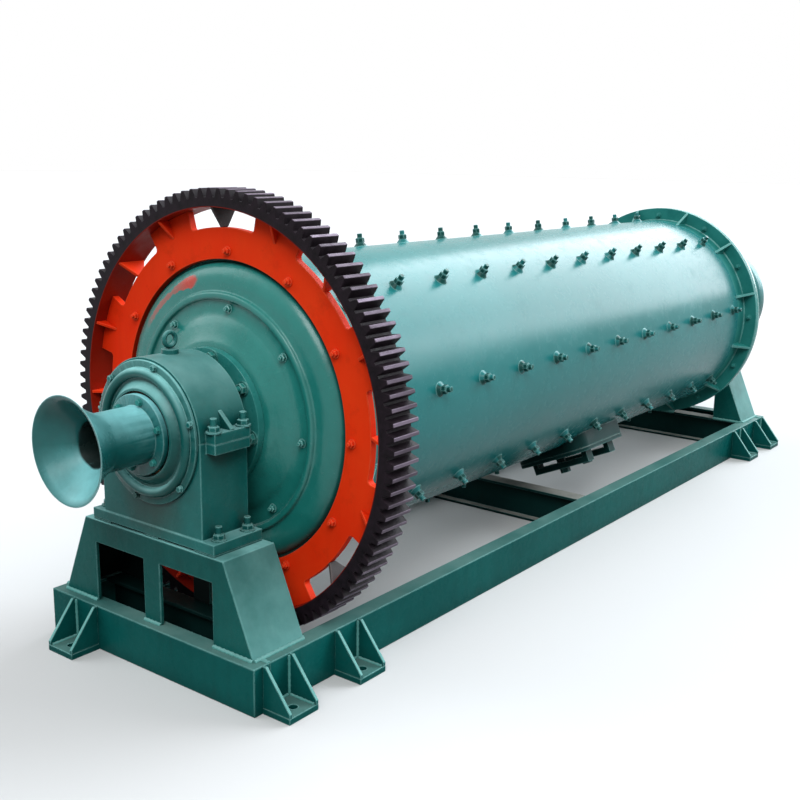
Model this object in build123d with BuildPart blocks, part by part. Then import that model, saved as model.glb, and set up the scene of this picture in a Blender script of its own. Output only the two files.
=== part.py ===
"""Ball mill on its welded base frame, as named sub-parts, in millimetres.

+X runs along the mill from the ring-gear end to the far end and +Z is up.
The origin is on the floor, in the middle of the four inner anchor holes.
"""
import os
from math import acos, cos, pi, radians, sin, sqrt, tan

from build123d import *

# Main sizes of the mill
shell_outer_r = 463
shell_wall = 14
shell_length = 2980
gear_end_room = 396
far_end_room = 444
frame_half_width = 445
overrun = 5

# Stations along the mill
web_thick = 24
flange_thick = 24
head_flange_thick = 24
housing_inset = 39
stand_inset = 31

# Ring gear
gear_module = 12
pressure_angle = 20
addendum_share = 1.0
dedendum_share = 1.25
gear_face = 110
web_fit = 1
web_ring_width = 93
window_depth = 59
rim_thick = 29
window_count = 8
window_span = 27
window_corner_r = 12
window_start = 88.5
gusset_thick = 10
gusset_spread_share = 0.46
gear_floor_clearance = 40

# Shell flanges and their ribs
flange_width = 60
flange_rib_count = 12
flange_rib_start = 15
flange_rib_length = 90
flange_rib_thick = 12

# End heads: how far in from the shell's radius each step lies, and how far out it rises
head_face_step = 7
head_shoulder_step = 70
head_ring_outer_step = 95
head_ring_inner_step = 113
head_crease_step = 163
head_dome_step = 231
head_shoulder_rise = 44
head_ring_rise = 56
head_crease_rise = 52
head_dome_rise = 80
shoulder_facets = 6
hub_seat_rise = 86
head_wall = 34
head_ring_step = 8

# Trunnions
journal_wall = 26
hub_flange_width = 102
hub_flange_thick = 24
running_clearance = 0.1
journal_overhang = 4
small_flange_step = 6
small_flange_thick = 18
neck_wall = 22
neck_length = 128
bell_spread = 68
bell_length = 102
bell_lip = 7
bell_throat_share = 0.14
bell_curve_share = 0.3
bell_flare_share = 0.2
discharge_spread = 206
discharge_cone_length = 103
discharge_lip_length = 60
discharge_plate = 8

# Bearing housings
housing_r = 213
housing_wall = 63
housing_depth = 177
housing_drop = 305
bush_wall = 40
bush_inset = 8
base_plate_margin = 50
base_plate_overhang = 5
base_plate_thick = 30
packing_thick = 6
ear_reach = 36
ear_thick = 30
ear_inset = 22
ear_root = 20
cover_step = 6
cover_thick = 9
cover_clearance = 12
cover_ring_step = 41
cover_ring_section_r = 14
cover_nose = 30
cover_slope_width = 26
cover_nose_land = 8
ring_sink_share = 0.2
lifting_eye_r = 20
lifting_eye_section_r = 7
lifting_eye_sides = 8
lifting_shank_r = 6
lifting_shank_height = 10
lifting_boss_r = 24
lifting_boss_height = 14

# Stands under the bearings
stand_depth = 200
stand_plate = 12
stand_foot_inset = 33
stand_head_margin = 37
window_inner_y = 36
window_frame_width = 46
window_head_band = 73
pad_inner_y = 30
pad_width = 81

# Base frame
rail_height = 140
rail_flange = 60
rail_web = 10
rail_flange_thick = 12
cross_beam_width = 70

# Foot brackets
foot_reach = 100
foot_half_length = 57
foot_thick = 18
foot_gusset_thick = 10
foot_gusset_nose = 12
anchor_hole_r = 13
anchor_offset = 58
foot_end_inset = 88
foot_second_inset = 382
drive_side_foot_inset = 168

# Manhole
manhole_angle = -114
manhole_x = 235
manhole_length = 400
manhole_arc_width = 340
manhole_corner_r = 70
manhole_land = 35
manhole_neck_rise = 29
manhole_cover_thick = 16
clamp_width = 46
clamp_spacing = 190
clamp_depth = 26
clamp_rise = 22
clamp_bolt_r = 12
clamp_bolt_length = 64
clamp_nut_r = 22
clamp_nut_thick = 20

# Worked out from the sizes above: radii
shell_inner_r = shell_outer_r - shell_wall
flange_outer_r = shell_outer_r + flange_width
web_inner_r = shell_outer_r + web_fit
window_inner_r = web_inner_r + web_ring_width
rim_inner_r = window_inner_r + window_depth
gear_teeth = round(2 * (rim_inner_r + rim_thick) / gear_module + 2 * dedendum_share)
pitch_r = gear_teeth * gear_module / 2
tooth_tip_r = pitch_r + addendum_share * gear_module
tooth_root_r = pitch_r - dedendum_share * gear_module
head_outer_r = flange_outer_r
head_face_r = shell_outer_r - head_face_step
head_shoulder_r = shell_outer_r - head_shoulder_step
head_crease_r = shell_outer_r - head_crease_step
head_ring_outer_r = shell_outer_r - head_ring_outer_step
head_ring_inner_r = shell_outer_r - head_ring_inner_step
head_dome_r = shell_outer_r - head_dome_step
bush_outer_r = housing_r - housing_wall
journal_r = bush_outer_r - bush_wall
journal_bore_r = journal_r - journal_wall
hub_flange_r = journal_r + hub_flange_width
small_flange_r = journal_r + small_flange_step
neck_outer_r = journal_bore_r
neck_bore_r = neck_outer_r - neck_wall
bell_mouth_r = neck_outer_r + bell_spread
discharge_mouth_r = neck_outer_r + discharge_spread
cover_r = housing_r - cover_step
cover_bore_r = journal_r + cover_clearance
cover_ring_r = housing_r - cover_ring_step
cover_slope_r = cover_bore_r + cover_slope_width
manhole_opening_length = manhole_length - 2 * manhole_land
manhole_opening_width = manhole_arc_width - 2 * manhole_land
manhole_neck_r = shell_outer_r + manhole_neck_rise
manhole_cover_r = manhole_neck_r + manhole_cover_thick
clamp_bolt_end_r = manhole_cover_r + clamp_bolt_length

# Worked out: heights and widths
axis_height = round(gear_floor_clearance + tooth_tip_r)
base_plate_bottom = axis_height - housing_drop
base_plate_half_width = housing_r + base_plate_margin
base_plate_length = housing_depth + 2 * base_plate_overhang
stand_top = base_plate_bottom - packing_thick
stand_foot_half_width = frame_half_width - stand_foot_inset
stand_head_half_width = base_plate_half_width + stand_head_margin
window_outer_y = stand_head_half_width - window_frame_width
window_top = stand_top - window_head_band

# Worked out: stations along the mill
frame_length = gear_end_room + shell_length + far_end_room
frame_half_length = frame_length / 2
shell_start_x = -frame_half_length + gear_end_room
shell_end_x = shell_start_x + shell_length
web_back_x = shell_start_x - head_flange_thick
web_front_x = web_back_x - web_thick
gear_mid_x = web_back_x - web_thick / 2
housing_outer_x = frame_half_length - housing_inset
housing_inner_x = housing_outer_x - housing_depth
stand_outer_x = frame_half_length - stand_inset
stand_inner_x = stand_outer_x - stand_depth
journal_end_x = frame_half_length + journal_overhang
gear_hub_x = web_back_x - hub_seat_rise
far_hub_x = shell_end_x + head_flange_thick + hub_seat_rise


def across(x):
    """Plane square to the mill's axis, with +Y to the right and +Z up."""
    return Plane(origin=(x, 0, axis_height), x_dir=(0, 1, 0), z_dir=(1, 0, 0))


def lengthwise(angle):
    """Plane through the mill's axis, with X along the axis and Y out from it."""
    normal = (0, -sin(radians(angle)), cos(radians(angle)))
    return Plane(origin=(0, 0, axis_height), x_dir=(1, 0, 0), z_dir=normal)


def outward(angle, x, radius):
    """Plane facing out from the axis at one angle, with X along the mill."""
    unit = (0, cos(radians(angle)), sin(radians(angle)))
    place = (x, radius * unit[1], axis_height + radius * unit[2])
    return Plane(origin=place, x_dir=(1, 0, 0), z_dir=unit)


mill_axis = Axis((0, 0, axis_height), (1, 0, 0))


half_section = Plane(origin=(0, 0, axis_height), x_dir=(1, 0, 0), z_dir=(0, -1, 0))


def turned_piece(label, points):
    """Piece turned about the mill's axis from a closed outline of (x, radius) points."""
    with BuildPart() as piece:
        with BuildSketch(half_section):
            with BuildLine():
                Polyline(points, close=True)
            make_face()
        revolve(axis=mill_axis)
    piece.part.label = label
    return piece


def ring_outline(x, outer_r, inner_r):
    """Flat ring about the mill's axis, facing +X."""
    with BuildSketch(across(x)) as outline:
        Circle(outer_r)
        Circle(inner_r, mode=Mode.SUBTRACT)
    return outline.sketch


def round_outline(x, radius):
    """Disc about the mill's axis, facing +X."""
    with BuildSketch(across(x)) as outline:
        Circle(radius)
    return outline.sketch


def plate_outline(plane, points):
    """Flat plate with straight edges through the points."""
    with BuildSketch(plane) as outline:
        with BuildLine():
            Polyline(points, close=True)
        make_face()
    return outline.sketch


def tooth_half_angle(radius):
    """Half the angle that one tooth takes up at a radius, from its involute."""
    base_angle = radians(pressure_angle)
    base_r = pitch_r * cos(base_angle)
    lean = acos(min(base_r / radius, 1))
    return pi / 2 / gear_teeth + tan(base_angle) - base_angle - tan(lean) + lean


def tooth_points():
    """Outline of the whole ring of teeth, six points a tooth."""
    points = []
    for tooth in range(gear_teeth):
        middle = 2 * pi * tooth / gear_teeth
        rise = [(r, -tooth_half_angle(r)) for r in (tooth_root_r, pitch_r, tooth_tip_r)]
        fall = [(r, -turn) for r, turn in reversed(rise)]
        for radius, turn in rise + fall:
            points.append((radius * cos(middle + turn), radius * sin(middle + turn)))
    return points


# Ring gear: rim with its teeth
with BuildPart() as gear_rim:
    with BuildSketch(across(gear_mid_x - gear_face / 2)):
        with BuildLine():
            Polyline(tooth_points(), close=True)
        make_face()
        Circle(rim_inner_r, mode=Mode.SUBTRACT)
    extrude(amount=gear_face)
gear_rim.part.label = "gear_rim"


def window_outline(x, start, span):
    """Arc window of the web, out to the rim."""
    with BuildSketch(across(x)) as outline:
        with BuildLine():
            inner = CenterArc((0, 0), window_inner_r, start, span)
            outer = CenterArc((0, 0), rim_inner_r + overrun, start, span)
            Line(inner @ 0, outer @ 0)
            Line(inner @ 1, outer @ 1)
        make_face()
        inner_corners = outline.vertices().sort_by(lambda corner: corner.X**2 + corner.Y**2)[:2]
        fillet(inner_corners, radius=window_corner_r)
    return outline.sketch


# Ring gear: web with its arc windows
with BuildPart() as gear_web:
    extrude(ring_outline(web_front_x, rim_inner_r, web_inner_r), amount=web_thick)
    for window in range(window_count):
        window_edge = window_start + window * 360 / window_count - window_span / 2
        opening = window_outline(web_front_x, window_edge, window_span)
        extrude(opening, amount=web_thick, mode=Mode.SUBTRACT)
gear_web.part.label = "gear_web"

# Ring gear: triangular gussets across the windows and on the web between them
gusset_top_r = sqrt(rim_inner_r**2 - (gusset_thick / 2) ** 2)
gusset_seat_r = window_inner_r
with BuildPart() as gear_gussets:
    for window in range(window_count):
        middle_angle = window_start + window * 360 / window_count
        spoke = [
            (gear_mid_x - gear_face * gusset_spread_share, gusset_top_r),
            (gear_mid_x + gear_face * gusset_spread_share, gusset_top_r),
            (web_back_x, gusset_seat_r),
            (web_front_x, gusset_seat_r),
        ]
        extrude(plate_outline(lengthwise(middle_angle), spoke), amount=gusset_thick / 2, both=True)
        between = middle_angle + 180 / window_count
        for plate_x, side in ((web_front_x, -1), (web_back_x, 1)):
            rib = [
                (plate_x, gusset_top_r),
                (plate_x, gusset_seat_r),
                (gear_mid_x + side * gear_face * gusset_spread_share, gusset_top_r),
            ]
            extrude(plate_outline(lengthwise(between), rib), amount=gusset_thick / 2, both=True)
gear_gussets.part.label = "gear_gussets"

# Drum shell, open at both ends, with the manhole cut through its underside
manhole_plane = outward(manhole_angle, manhole_x, 0)
with BuildPart() as drum_shell:
    extrude(ring_outline(shell_start_x, shell_outer_r, shell_inner_r), amount=shell_length)
    with BuildSketch(manhole_plane):
        RectangleRounded(manhole_opening_length, manhole_opening_width, manhole_corner_r - manhole_land / 2)
    extrude(amount=manhole_cover_r, mode=Mode.SUBTRACT)
drum_shell.part.label = "drum_shell"


def shell_flange(label, x):
    """Flange ring welded round one end of the shell."""
    with BuildPart() as flange:
        extrude(ring_outline(x, flange_outer_r, shell_outer_r), amount=flange_thick)
    flange.part.label = label
    return flange


gear_end_flange = shell_flange("gear_end_flange", shell_start_x)
far_end_flange = shell_flange("far_end_flange", shell_end_x - flange_thick)


def flange_ribs(label, flange_x, reach):
    """Triangular ribs from the shell to the flange, one between each pair of bolts."""
    points = [
        (flange_x, shell_outer_r),
        (flange_x, flange_outer_r),
        (flange_x + reach, shell_outer_r),
    ]
    with BuildPart() as ribs:
        for rib in range(flange_rib_count):
            angle = flange_rib_start + rib * 360 / flange_rib_count
            outline = plate_outline(lengthwise(angle), points)
            extrude(outline, amount=flange_rib_thick / 2, both=True)
    ribs.part.label = label
    return ribs


gear_end_ribs = flange_ribs("gear_end_ribs", shell_start_x + flange_thick, flange_rib_length)
far_end_ribs = flange_ribs("far_end_ribs", shell_end_x - flange_thick, -flange_rib_length)


# End heads: outline as (distance out from the head's bolted face, radius)
def head_shoulder(seat):
    """Rounded shoulder of a head, from its flange up to the flat under the raised ring."""
    reach = head_face_r - head_shoulder_r
    turns = [radians(90 * facet / shoulder_facets) for facet in range(shoulder_facets + 1)]
    return [(seat + head_shoulder_rise * sin(turn), head_shoulder_r + reach * cos(turn)) for turn in turns]


def head_outline(joint_x, out):
    """Domed head from its bolted face at joint_x; out is -1 or 1 for the way it bulges."""
    seat = head_flange_thick
    steps = [
        (0, shell_inner_r),
        (0, head_outer_r),
        (seat, head_outer_r),
        *head_shoulder(seat),
        (seat + head_shoulder_rise, head_ring_outer_r + head_ring_step / 2),
        (seat + head_ring_rise, head_ring_outer_r),
        (seat + head_ring_rise, head_ring_inner_r),
        (seat + head_shoulder_rise, head_ring_inner_r - head_ring_step / 2),
        (seat + head_crease_rise - head_ring_step / 2, head_crease_r),
        (seat + head_crease_rise, head_crease_r - head_ring_step / 2),
        (seat + head_dome_rise, head_dome_r),
        (seat + hub_seat_rise, head_dome_r - head_ring_step),
        (seat + hub_seat_rise, journal_bore_r),
        (seat + hub_seat_rise - head_wall, journal_bore_r),
        (seat + head_ring_rise - head_wall, head_ring_inner_r),
    ]
    return [(joint_x + out * rise, radius) for rise, radius in steps]


gear_end_head = turned_piece("gear_end_head", head_outline(shell_start_x, -1))
far_end_head = turned_piece("far_end_head", head_outline(shell_end_x, 1))


# Trunnions: hub flange bolted to the head, and the journal that runs in the bearing
def trunnion_outline(seat_x, end_x, out):
    """Hollow trunnion from its seat on the head to its outer end."""
    inner = seat_x + out * hub_flange_thick
    return [
        (seat_x, journal_bore_r),
        (seat_x, hub_flange_r),
        (inner, hub_flange_r),
        (inner, journal_r),
        (end_x, journal_r),
        (end_x, journal_bore_r),
    ]


gear_end_trunnion = turned_piece(
    "gear_end_trunnion",
    trunnion_outline(gear_hub_x, -journal_end_x + small_flange_thick, -1),
)
far_end_trunnion = turned_piece(
    "far_end_trunnion",
    trunnion_outline(far_hub_x, journal_end_x - small_flange_thick, 1),
)

# Feed trumpet at the gear end: small flange, neck and flared bell
neck_start_x = -journal_end_x
neck_end_x = neck_start_x - neck_length
bell_end_x = neck_end_x - bell_length
with BuildPart() as feed_trumpet:
    with BuildSketch(half_section):
        with BuildLine():
            back_x = neck_start_x + small_flange_thick
            Polyline(
                (neck_end_x, neck_bore_r),
                (back_x, neck_bore_r),
                (back_x, small_flange_r),
                (neck_start_x, small_flange_r),
                (neck_start_x, neck_outer_r),
                (neck_end_x, neck_outer_r),
            )
            bell_mid_x = neck_end_x - bell_length * bell_curve_share
            bell_flare_r = neck_outer_r + (bell_mouth_r - neck_outer_r) * bell_flare_share
            Spline((neck_end_x, neck_outer_r), (bell_mid_x, bell_flare_r), (bell_end_x, bell_mouth_r))
            Line((bell_end_x, bell_mouth_r), (bell_end_x, bell_mouth_r - bell_lip))
            throat_x = neck_end_x - bell_length * bell_throat_share
            Line((bell_end_x, bell_mouth_r - bell_lip), (throat_x, neck_bore_r))
            Line((throat_x, neck_bore_r), (neck_end_x, neck_bore_r))
        make_face()
    revolve(axis=mill_axis)
feed_trumpet.part.label = "feed_trumpet"

# Discharge spout at the far end: its wide lipped mouth shows past the far flange
spout_end_x = journal_end_x + neck_length
discharge_lip_x = spout_end_x + discharge_cone_length
discharge_end_x = discharge_lip_x + discharge_lip_length
discharge_throat_x = spout_end_x + bell_length * bell_throat_share
spout_points = [
    (journal_end_x - small_flange_thick, neck_bore_r),
    (journal_end_x - small_flange_thick, small_flange_r),
    (journal_end_x, small_flange_r),
    (journal_end_x, neck_outer_r),
    (spout_end_x, neck_outer_r),
    (discharge_lip_x, discharge_mouth_r),
    (discharge_end_x, discharge_mouth_r),
    (discharge_end_x, discharge_mouth_r - discharge_plate),
    (discharge_lip_x + discharge_plate / 2, discharge_mouth_r - discharge_plate),
    (discharge_throat_x, neck_bore_r),
]
discharge_spout = turned_piece("discharge_spout", spout_points)

# Manhole: neck ring, cover plate, two bow clamps and their bolts with nuts
with BuildPart() as manhole_neck:
    with BuildSketch(manhole_plane):
        RectangleRounded(manhole_length, manhole_arc_width, manhole_corner_r)
        RectangleRounded(
            manhole_opening_length,
            manhole_opening_width,
            manhole_corner_r - manhole_land / 2,
            mode=Mode.SUBTRACT,
        )
    extrude(amount=manhole_neck_r)
    shell_cut = round_outline(manhole_x - manhole_length, shell_outer_r)
    extrude(shell_cut, amount=2 * manhole_length, mode=Mode.SUBTRACT)
manhole_neck.part.label = "manhole_neck"

with BuildPart() as manhole_cover:
    with BuildSketch(outward(manhole_angle, manhole_x, manhole_neck_r)):
        RectangleRounded(manhole_length, manhole_arc_width, manhole_corner_r)
    extrude(amount=manhole_cover_r - manhole_neck_r)
manhole_cover.part.label = "manhole_cover"


def clamp_places():
    """Middle of each bow clamp, along the mill."""
    return [manhole_x - clamp_spacing / 2, manhole_x + clamp_spacing / 2]


with BuildPart() as manhole_clamps:
    for clamp_x in clamp_places():
        foot_y = manhole_arc_width / 2 - manhole_corner_r / 2
        with BuildSketch(outward(manhole_angle, clamp_x, manhole_cover_r)):
            Rectangle(clamp_width, 2 * foot_y)
        extrude(amount=clamp_depth + clamp_rise)
        with BuildSketch(outward(manhole_angle, clamp_x, manhole_cover_r)):
            Rectangle(clamp_width + overrun, 2 * foot_y - clamp_width)
        extrude(amount=clamp_rise, mode=Mode.SUBTRACT)
        with BuildSketch(outward(manhole_angle, clamp_x, manhole_cover_r)):
            Circle(clamp_bolt_r)
        extrude(amount=clamp_depth + clamp_rise, mode=Mode.SUBTRACT)
manhole_clamps.part.label = "manhole_clamps"

with BuildPart() as manhole_bolts:
    for clamp_x in clamp_places():
        with BuildSketch(outward(manhole_angle, clamp_x, manhole_cover_r)):
            Circle(clamp_bolt_r)
        extrude(amount=clamp_bolt_end_r - manhole_cover_r)
        with BuildSketch(outward(manhole_angle, clamp_x, manhole_cover_r + clamp_depth + clamp_rise)):
            RegularPolygon(clamp_nut_r, 6)
        extrude(amount=clamp_nut_thick)
manhole_bolts.part.label = "manhole_bolts"


# Bearing housings: end is -1 for the gear end and 1 for the far end
def housing_low_x(end):
    """The lower x of a bearing housing."""
    return min(end * housing_outer_x, end * housing_inner_x)


def housing_mid_x(end):
    """Middle of a bearing housing, along the mill."""
    return end * (housing_outer_x + housing_inner_x) / 2


def ear_outline(low_x, side, root, top):
    """Split-line ear on one side, above or below the split."""
    near_y = side * (housing_r - root)
    far_y = side * (housing_r + ear_reach)
    points = [(near_y, 0), (far_y, 0), (far_y, top), (near_y, top)]
    return plate_outline(across(low_x + ear_inset), points)


def housing_base(label, end):
    """Lower half of a bearing housing with its base plate and split-line ears."""
    low_x = housing_low_x(end)
    plate_top = base_plate_bottom + base_plate_thick - axis_height
    block = [(-housing_r, 0), (housing_r, 0), (housing_r, plate_top), (-housing_r, plate_top)]
    with BuildPart() as base:
        extrude(plate_outline(across(low_x), block), amount=housing_depth)
        for side in (-1, 1):
            ear = ear_outline(low_x, side, ear_root, -ear_thick)
            extrude(ear, amount=housing_depth - 2 * ear_inset)
        extrude(round_outline(low_x, bush_outer_r), amount=housing_depth, mode=Mode.SUBTRACT)
        with BuildSketch(Plane.XY.offset(base_plate_bottom)):
            with Locations((housing_mid_x(end), 0)):
                Rectangle(base_plate_length, 2 * base_plate_half_width)
        extrude(amount=base_plate_thick)
    base.part.label = label
    return base


def housing_cap(label, end):
    """Upper half of a bearing housing, with its ears and lifting boss."""
    low_x = housing_low_x(end)
    with BuildPart() as cap:
        with BuildSketch(across(low_x)):
            with BuildLine():
                CenterArc((0, 0), housing_r, 0, 180)
                Line((-housing_r, 0), (housing_r, 0))
            make_face()
        extrude(amount=housing_depth)
        for side in (-1, 1):
            ear = ear_outline(low_x, side, ear_root, ear_thick)
            extrude(ear, amount=housing_depth - 2 * ear_inset)
        with BuildSketch(Plane.XY.offset(axis_height + bush_outer_r)):
            with Locations((housing_mid_x(end), 0)):
                Circle(lifting_boss_r)
        extrude(amount=housing_r - bush_outer_r + lifting_boss_height)
        extrude(round_outline(low_x, bush_outer_r), amount=housing_depth, mode=Mode.SUBTRACT)
    cap.part.label = label
    return cap


def bush(label, end):
    """Bearing bush round the journal."""
    start_x = housing_low_x(end) + bush_inset
    with BuildPart() as liner:
        outline = ring_outline(start_x, bush_outer_r, journal_r + running_clearance)
        extrude(outline, amount=housing_depth - 2 * bush_inset)
    liner.part.label = label
    return liner


def housing_cover(label, face_x, out):
    """Round cover with a heavy rolled ring and a raised nose, from the housing's face."""
    ring_x = face_x + out * (cover_thick + cover_ring_section_r * ring_sink_share)
    points = [
        (0, cover_bore_r),
        (0, cover_r),
        (cover_thick, cover_r),
        (cover_thick, cover_slope_r),
        (cover_nose, cover_bore_r + cover_nose_land),
        (cover_nose, cover_bore_r),
    ]
    with BuildPart() as cover:
        with BuildSketch(half_section):
            with BuildLine():
                Polyline([(face_x + out * rise, radius) for rise, radius in points], close=True)
            make_face()
            with Locations((ring_x, cover_ring_r)):
                Circle(cover_ring_section_r)
        revolve(axis=mill_axis)
        behind = round_outline(face_x, cover_r + overrun)
        extrude(behind, amount=-out * cover_ring_section_r, mode=Mode.SUBTRACT)
    cover.part.label = label
    return cover


def lifting_eye(label, end):
    """Eyebolt on top of a bearing cap, its ring bent from octagonal bar."""
    boss_top = axis_height + housing_r + lifting_boss_height
    eye_x = housing_mid_x(end)
    eye_z = boss_top + lifting_eye_section_r + lifting_eye_r
    with BuildPart() as eye:
        with BuildSketch(Plane.XY.offset(boss_top)):
            with Locations((eye_x, 0)):
                Circle(lifting_shank_r)
        extrude(amount=lifting_shank_height)
        with BuildSketch(Plane.XY.offset(eye_z)):
            with Locations((eye_x + lifting_eye_r, 0)):
                RegularPolygon(lifting_eye_section_r, lifting_eye_sides)
        revolve(axis=Axis((eye_x, 0, eye_z), (0, 1, 0)))
    eye.part.label = label
    return eye


gear_end_housing_base = housing_base("gear_end_housing_base", -1)
gear_end_housing_cap = housing_cap("gear_end_housing_cap", -1)
gear_end_bush = bush("gear_end_bush", -1)
gear_end_cover = housing_cover("gear_end_cover", -housing_outer_x, -1)
gear_end_lifting_eye = lifting_eye("gear_end_lifting_eye", -1)
far_end_housing_base = housing_base("far_end_housing_base", 1)
far_end_housing_cap = housing_cap("far_end_housing_cap", 1)
far_end_bush = bush("far_end_bush", 1)
far_end_cover = housing_cover("far_end_cover", housing_outer_x, 1)
far_end_lifting_eye = lifting_eye("far_end_lifting_eye", 1)


# Stands: a welded box narrowing to the top, with two windows in each face
def trapezoid(foot_half_width, head_half_width, top):
    """Outline of the stand's face, or of the hollow behind it."""
    foot_z = rail_height - axis_height
    top_z = top - axis_height
    return [
        (-foot_half_width, foot_z),
        (foot_half_width, foot_z),
        (head_half_width, top_z),
        (-head_half_width, top_z),
    ]


stand_lean = (stand_foot_half_width - stand_head_half_width) / (stand_top - rail_height)
stand_wall_y = stand_plate * sqrt(1 + stand_lean**2)
hollow_foot = stand_foot_half_width - stand_wall_y
hollow_head = stand_head_half_width - stand_wall_y + stand_lean * stand_plate


def stand(label, end):
    """Welded stand under one bearing housing."""
    low_x = min(end * stand_outer_x, end * stand_inner_x)
    outside = trapezoid(stand_foot_half_width, stand_head_half_width, stand_top)
    hollow = trapezoid(hollow_foot, hollow_head, stand_top - stand_plate)
    window_mid_y = (window_inner_y + window_outer_y) / 2
    window_mid_z = (rail_height + window_top) / 2 - axis_height
    with BuildPart() as box:
        extrude(plate_outline(across(low_x), outside), amount=stand_depth)
        hollow_outline = plate_outline(across(low_x + stand_plate), hollow)
        extrude(hollow_outline, amount=stand_depth - 2 * stand_plate, mode=Mode.SUBTRACT)
        with BuildSketch(across(low_x)):
            with Locations((-window_mid_y, window_mid_z), (window_mid_y, window_mid_z)):
                Rectangle(window_outer_y - window_inner_y, window_top - rail_height)
        extrude(amount=stand_depth, mode=Mode.SUBTRACT)
    box.part.label = label
    return box


gear_end_stand = stand("gear_end_stand", -1)
far_end_stand = stand("far_end_stand", 1)

# Packing strips between each stand and its housing's base plate
with BuildPart() as stand_packing:
    side_pad_y = base_plate_half_width - pad_width / 2
    for end in (-1, 1):
        with BuildSketch(Plane.XY.offset(stand_top)):
            with Locations((housing_mid_x(end), 0)):
                Rectangle(base_plate_length, 2 * pad_inner_y)
            for pad_y in (-side_pad_y, side_pad_y):
                with Locations((housing_mid_x(end), pad_y)):
                    Rectangle(base_plate_length, pad_width)
        extrude(amount=packing_thick)
stand_packing.part.label = "stand_packing"

# Base frame: channels standing on their edge, flat face outwards
channel = [
    (0, 0),
    (rail_flange, 0),
    (rail_flange, rail_flange_thick),
    (rail_web, rail_flange_thick),
    (rail_web, rail_height - rail_flange_thick),
    (rail_flange, rail_height - rail_flange_thick),
    (rail_flange, rail_height),
    (0, rail_height),
]


def side_rail(label, side):
    """Long channel on one side of the frame, between the end beams."""
    half_length = frame_half_length - rail_flange
    start = Plane(origin=(-half_length, 0, 0), x_dir=(0, 1, 0), z_dir=(1, 0, 0))
    points = [(side * (frame_half_width - y), z) for y, z in channel]
    with BuildPart() as rail:
        extrude(plate_outline(start, points), amount=2 * half_length)
    rail.part.label = label
    return rail


def end_beam(label, end):
    """Channel across one end of the frame, with both its mouths plated over."""
    half_span = frame_half_width
    start = Plane(origin=(0, half_span, 0), x_dir=(1, 0, 0), z_dir=(0, -1, 0))
    points = [(end * (frame_half_length - x), z) for x, z in channel]
    cap_mid_x = end * (frame_half_length - rail_flange / 2)
    cap_mid_y = half_span - rail_web / 2
    with BuildPart() as beam:
        extrude(plate_outline(start, points), amount=2 * half_span)
        with BuildSketch(Plane.XY):
            with Locations((cap_mid_x, -cap_mid_y), (cap_mid_x, cap_mid_y)):
                Rectangle(rail_flange, rail_web)
        extrude(amount=rail_height)
    beam.part.label = label
    return beam


def cross_beam(label, mid_x):
    """I-section beam between the side rails."""
    half_span = frame_half_width - rail_flange
    with BuildPart() as beam:
        with BuildSketch(Plane(origin=(mid_x, half_span, 0), x_dir=(1, 0, 0), z_dir=(0, -1, 0))):
            with Locations((0, rail_height / 2)):
                Rectangle(rail_web, rail_height)
            flange_z = rail_flange_thick / 2
            with Locations((0, flange_z), (0, rail_height - flange_z)):
                Rectangle(cross_beam_width, rail_flange_thick)
        extrude(amount=2 * half_span)
    beam.part.label = label
    return beam


cross_beam_x = stand_inner_x + cross_beam_width / 2
right_rail = side_rail("right_rail", -1)
left_rail = side_rail("left_rail", 1)
gear_end_beam = end_beam("gear_end_beam", -1)
far_end_beam = end_beam("far_end_beam", 1)
gear_end_cross_beam = cross_beam("gear_end_cross_beam", -cross_beam_x)
mid_cross_beam = cross_beam("mid_cross_beam", 0)
far_end_cross_beam = cross_beam("far_end_cross_beam", cross_beam_x)

# Foot brackets: place and turn about Z of each, reaching out from the frame
foot_end_x = frame_half_length - foot_end_inset
foot_second_x = frame_half_length - foot_second_inset
foot_places = [Location((x, -frame_half_width, 0), (0, 0, -90)) for x in (-foot_end_x, foot_end_x)]
for foot_x in (-foot_second_x, foot_second_x):
    foot_places.append(Location((foot_x, -frame_half_width, 0), (0, 0, -90)))
    foot_places.append(Location((foot_x, frame_half_width, 0), (0, 0, 90)))
foot_places.append(Location((foot_end_x, frame_half_width, 0), (0, 0, 90)))
foot_places.append(Location((-frame_half_length, frame_half_width - drive_side_foot_inset, 0), (0, 0, 180)))

with BuildPart() as foot_plate:
    with BuildSketch(Plane.XY):
        with Locations((foot_reach / 2, 0)):
            Rectangle(foot_reach, 2 * foot_half_length)
        with Locations((anchor_offset, 0)):
            Circle(anchor_hole_r, mode=Mode.SUBTRACT)
    extrude(amount=foot_thick)

with BuildPart() as gusset_pair:
    gusset_y = foot_half_length - foot_gusset_thick / 2
    gusset_points = [
        (0, foot_thick),
        (foot_reach, foot_thick),
        (foot_reach, foot_thick + foot_gusset_nose),
        (foot_gusset_nose, rail_height),
        (0, rail_height),
    ]
    for y in (-gusset_y, gusset_y):
        gusset_plane = Plane(origin=(0, y, 0), x_dir=(1, 0, 0), z_dir=(0, -1, 0))
        extrude(plate_outline(gusset_plane, gusset_points), amount=foot_gusset_thick / 2, both=True)

with BuildPart() as foot_plates:
    with Locations(foot_places):
        add(foot_plate.part)
foot_plates.part.label = "foot_plates"

with BuildPart() as foot_gussets:
    with Locations(foot_places):
        add(gusset_pair.part)
foot_gussets.part.label = "foot_gussets"

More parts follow.
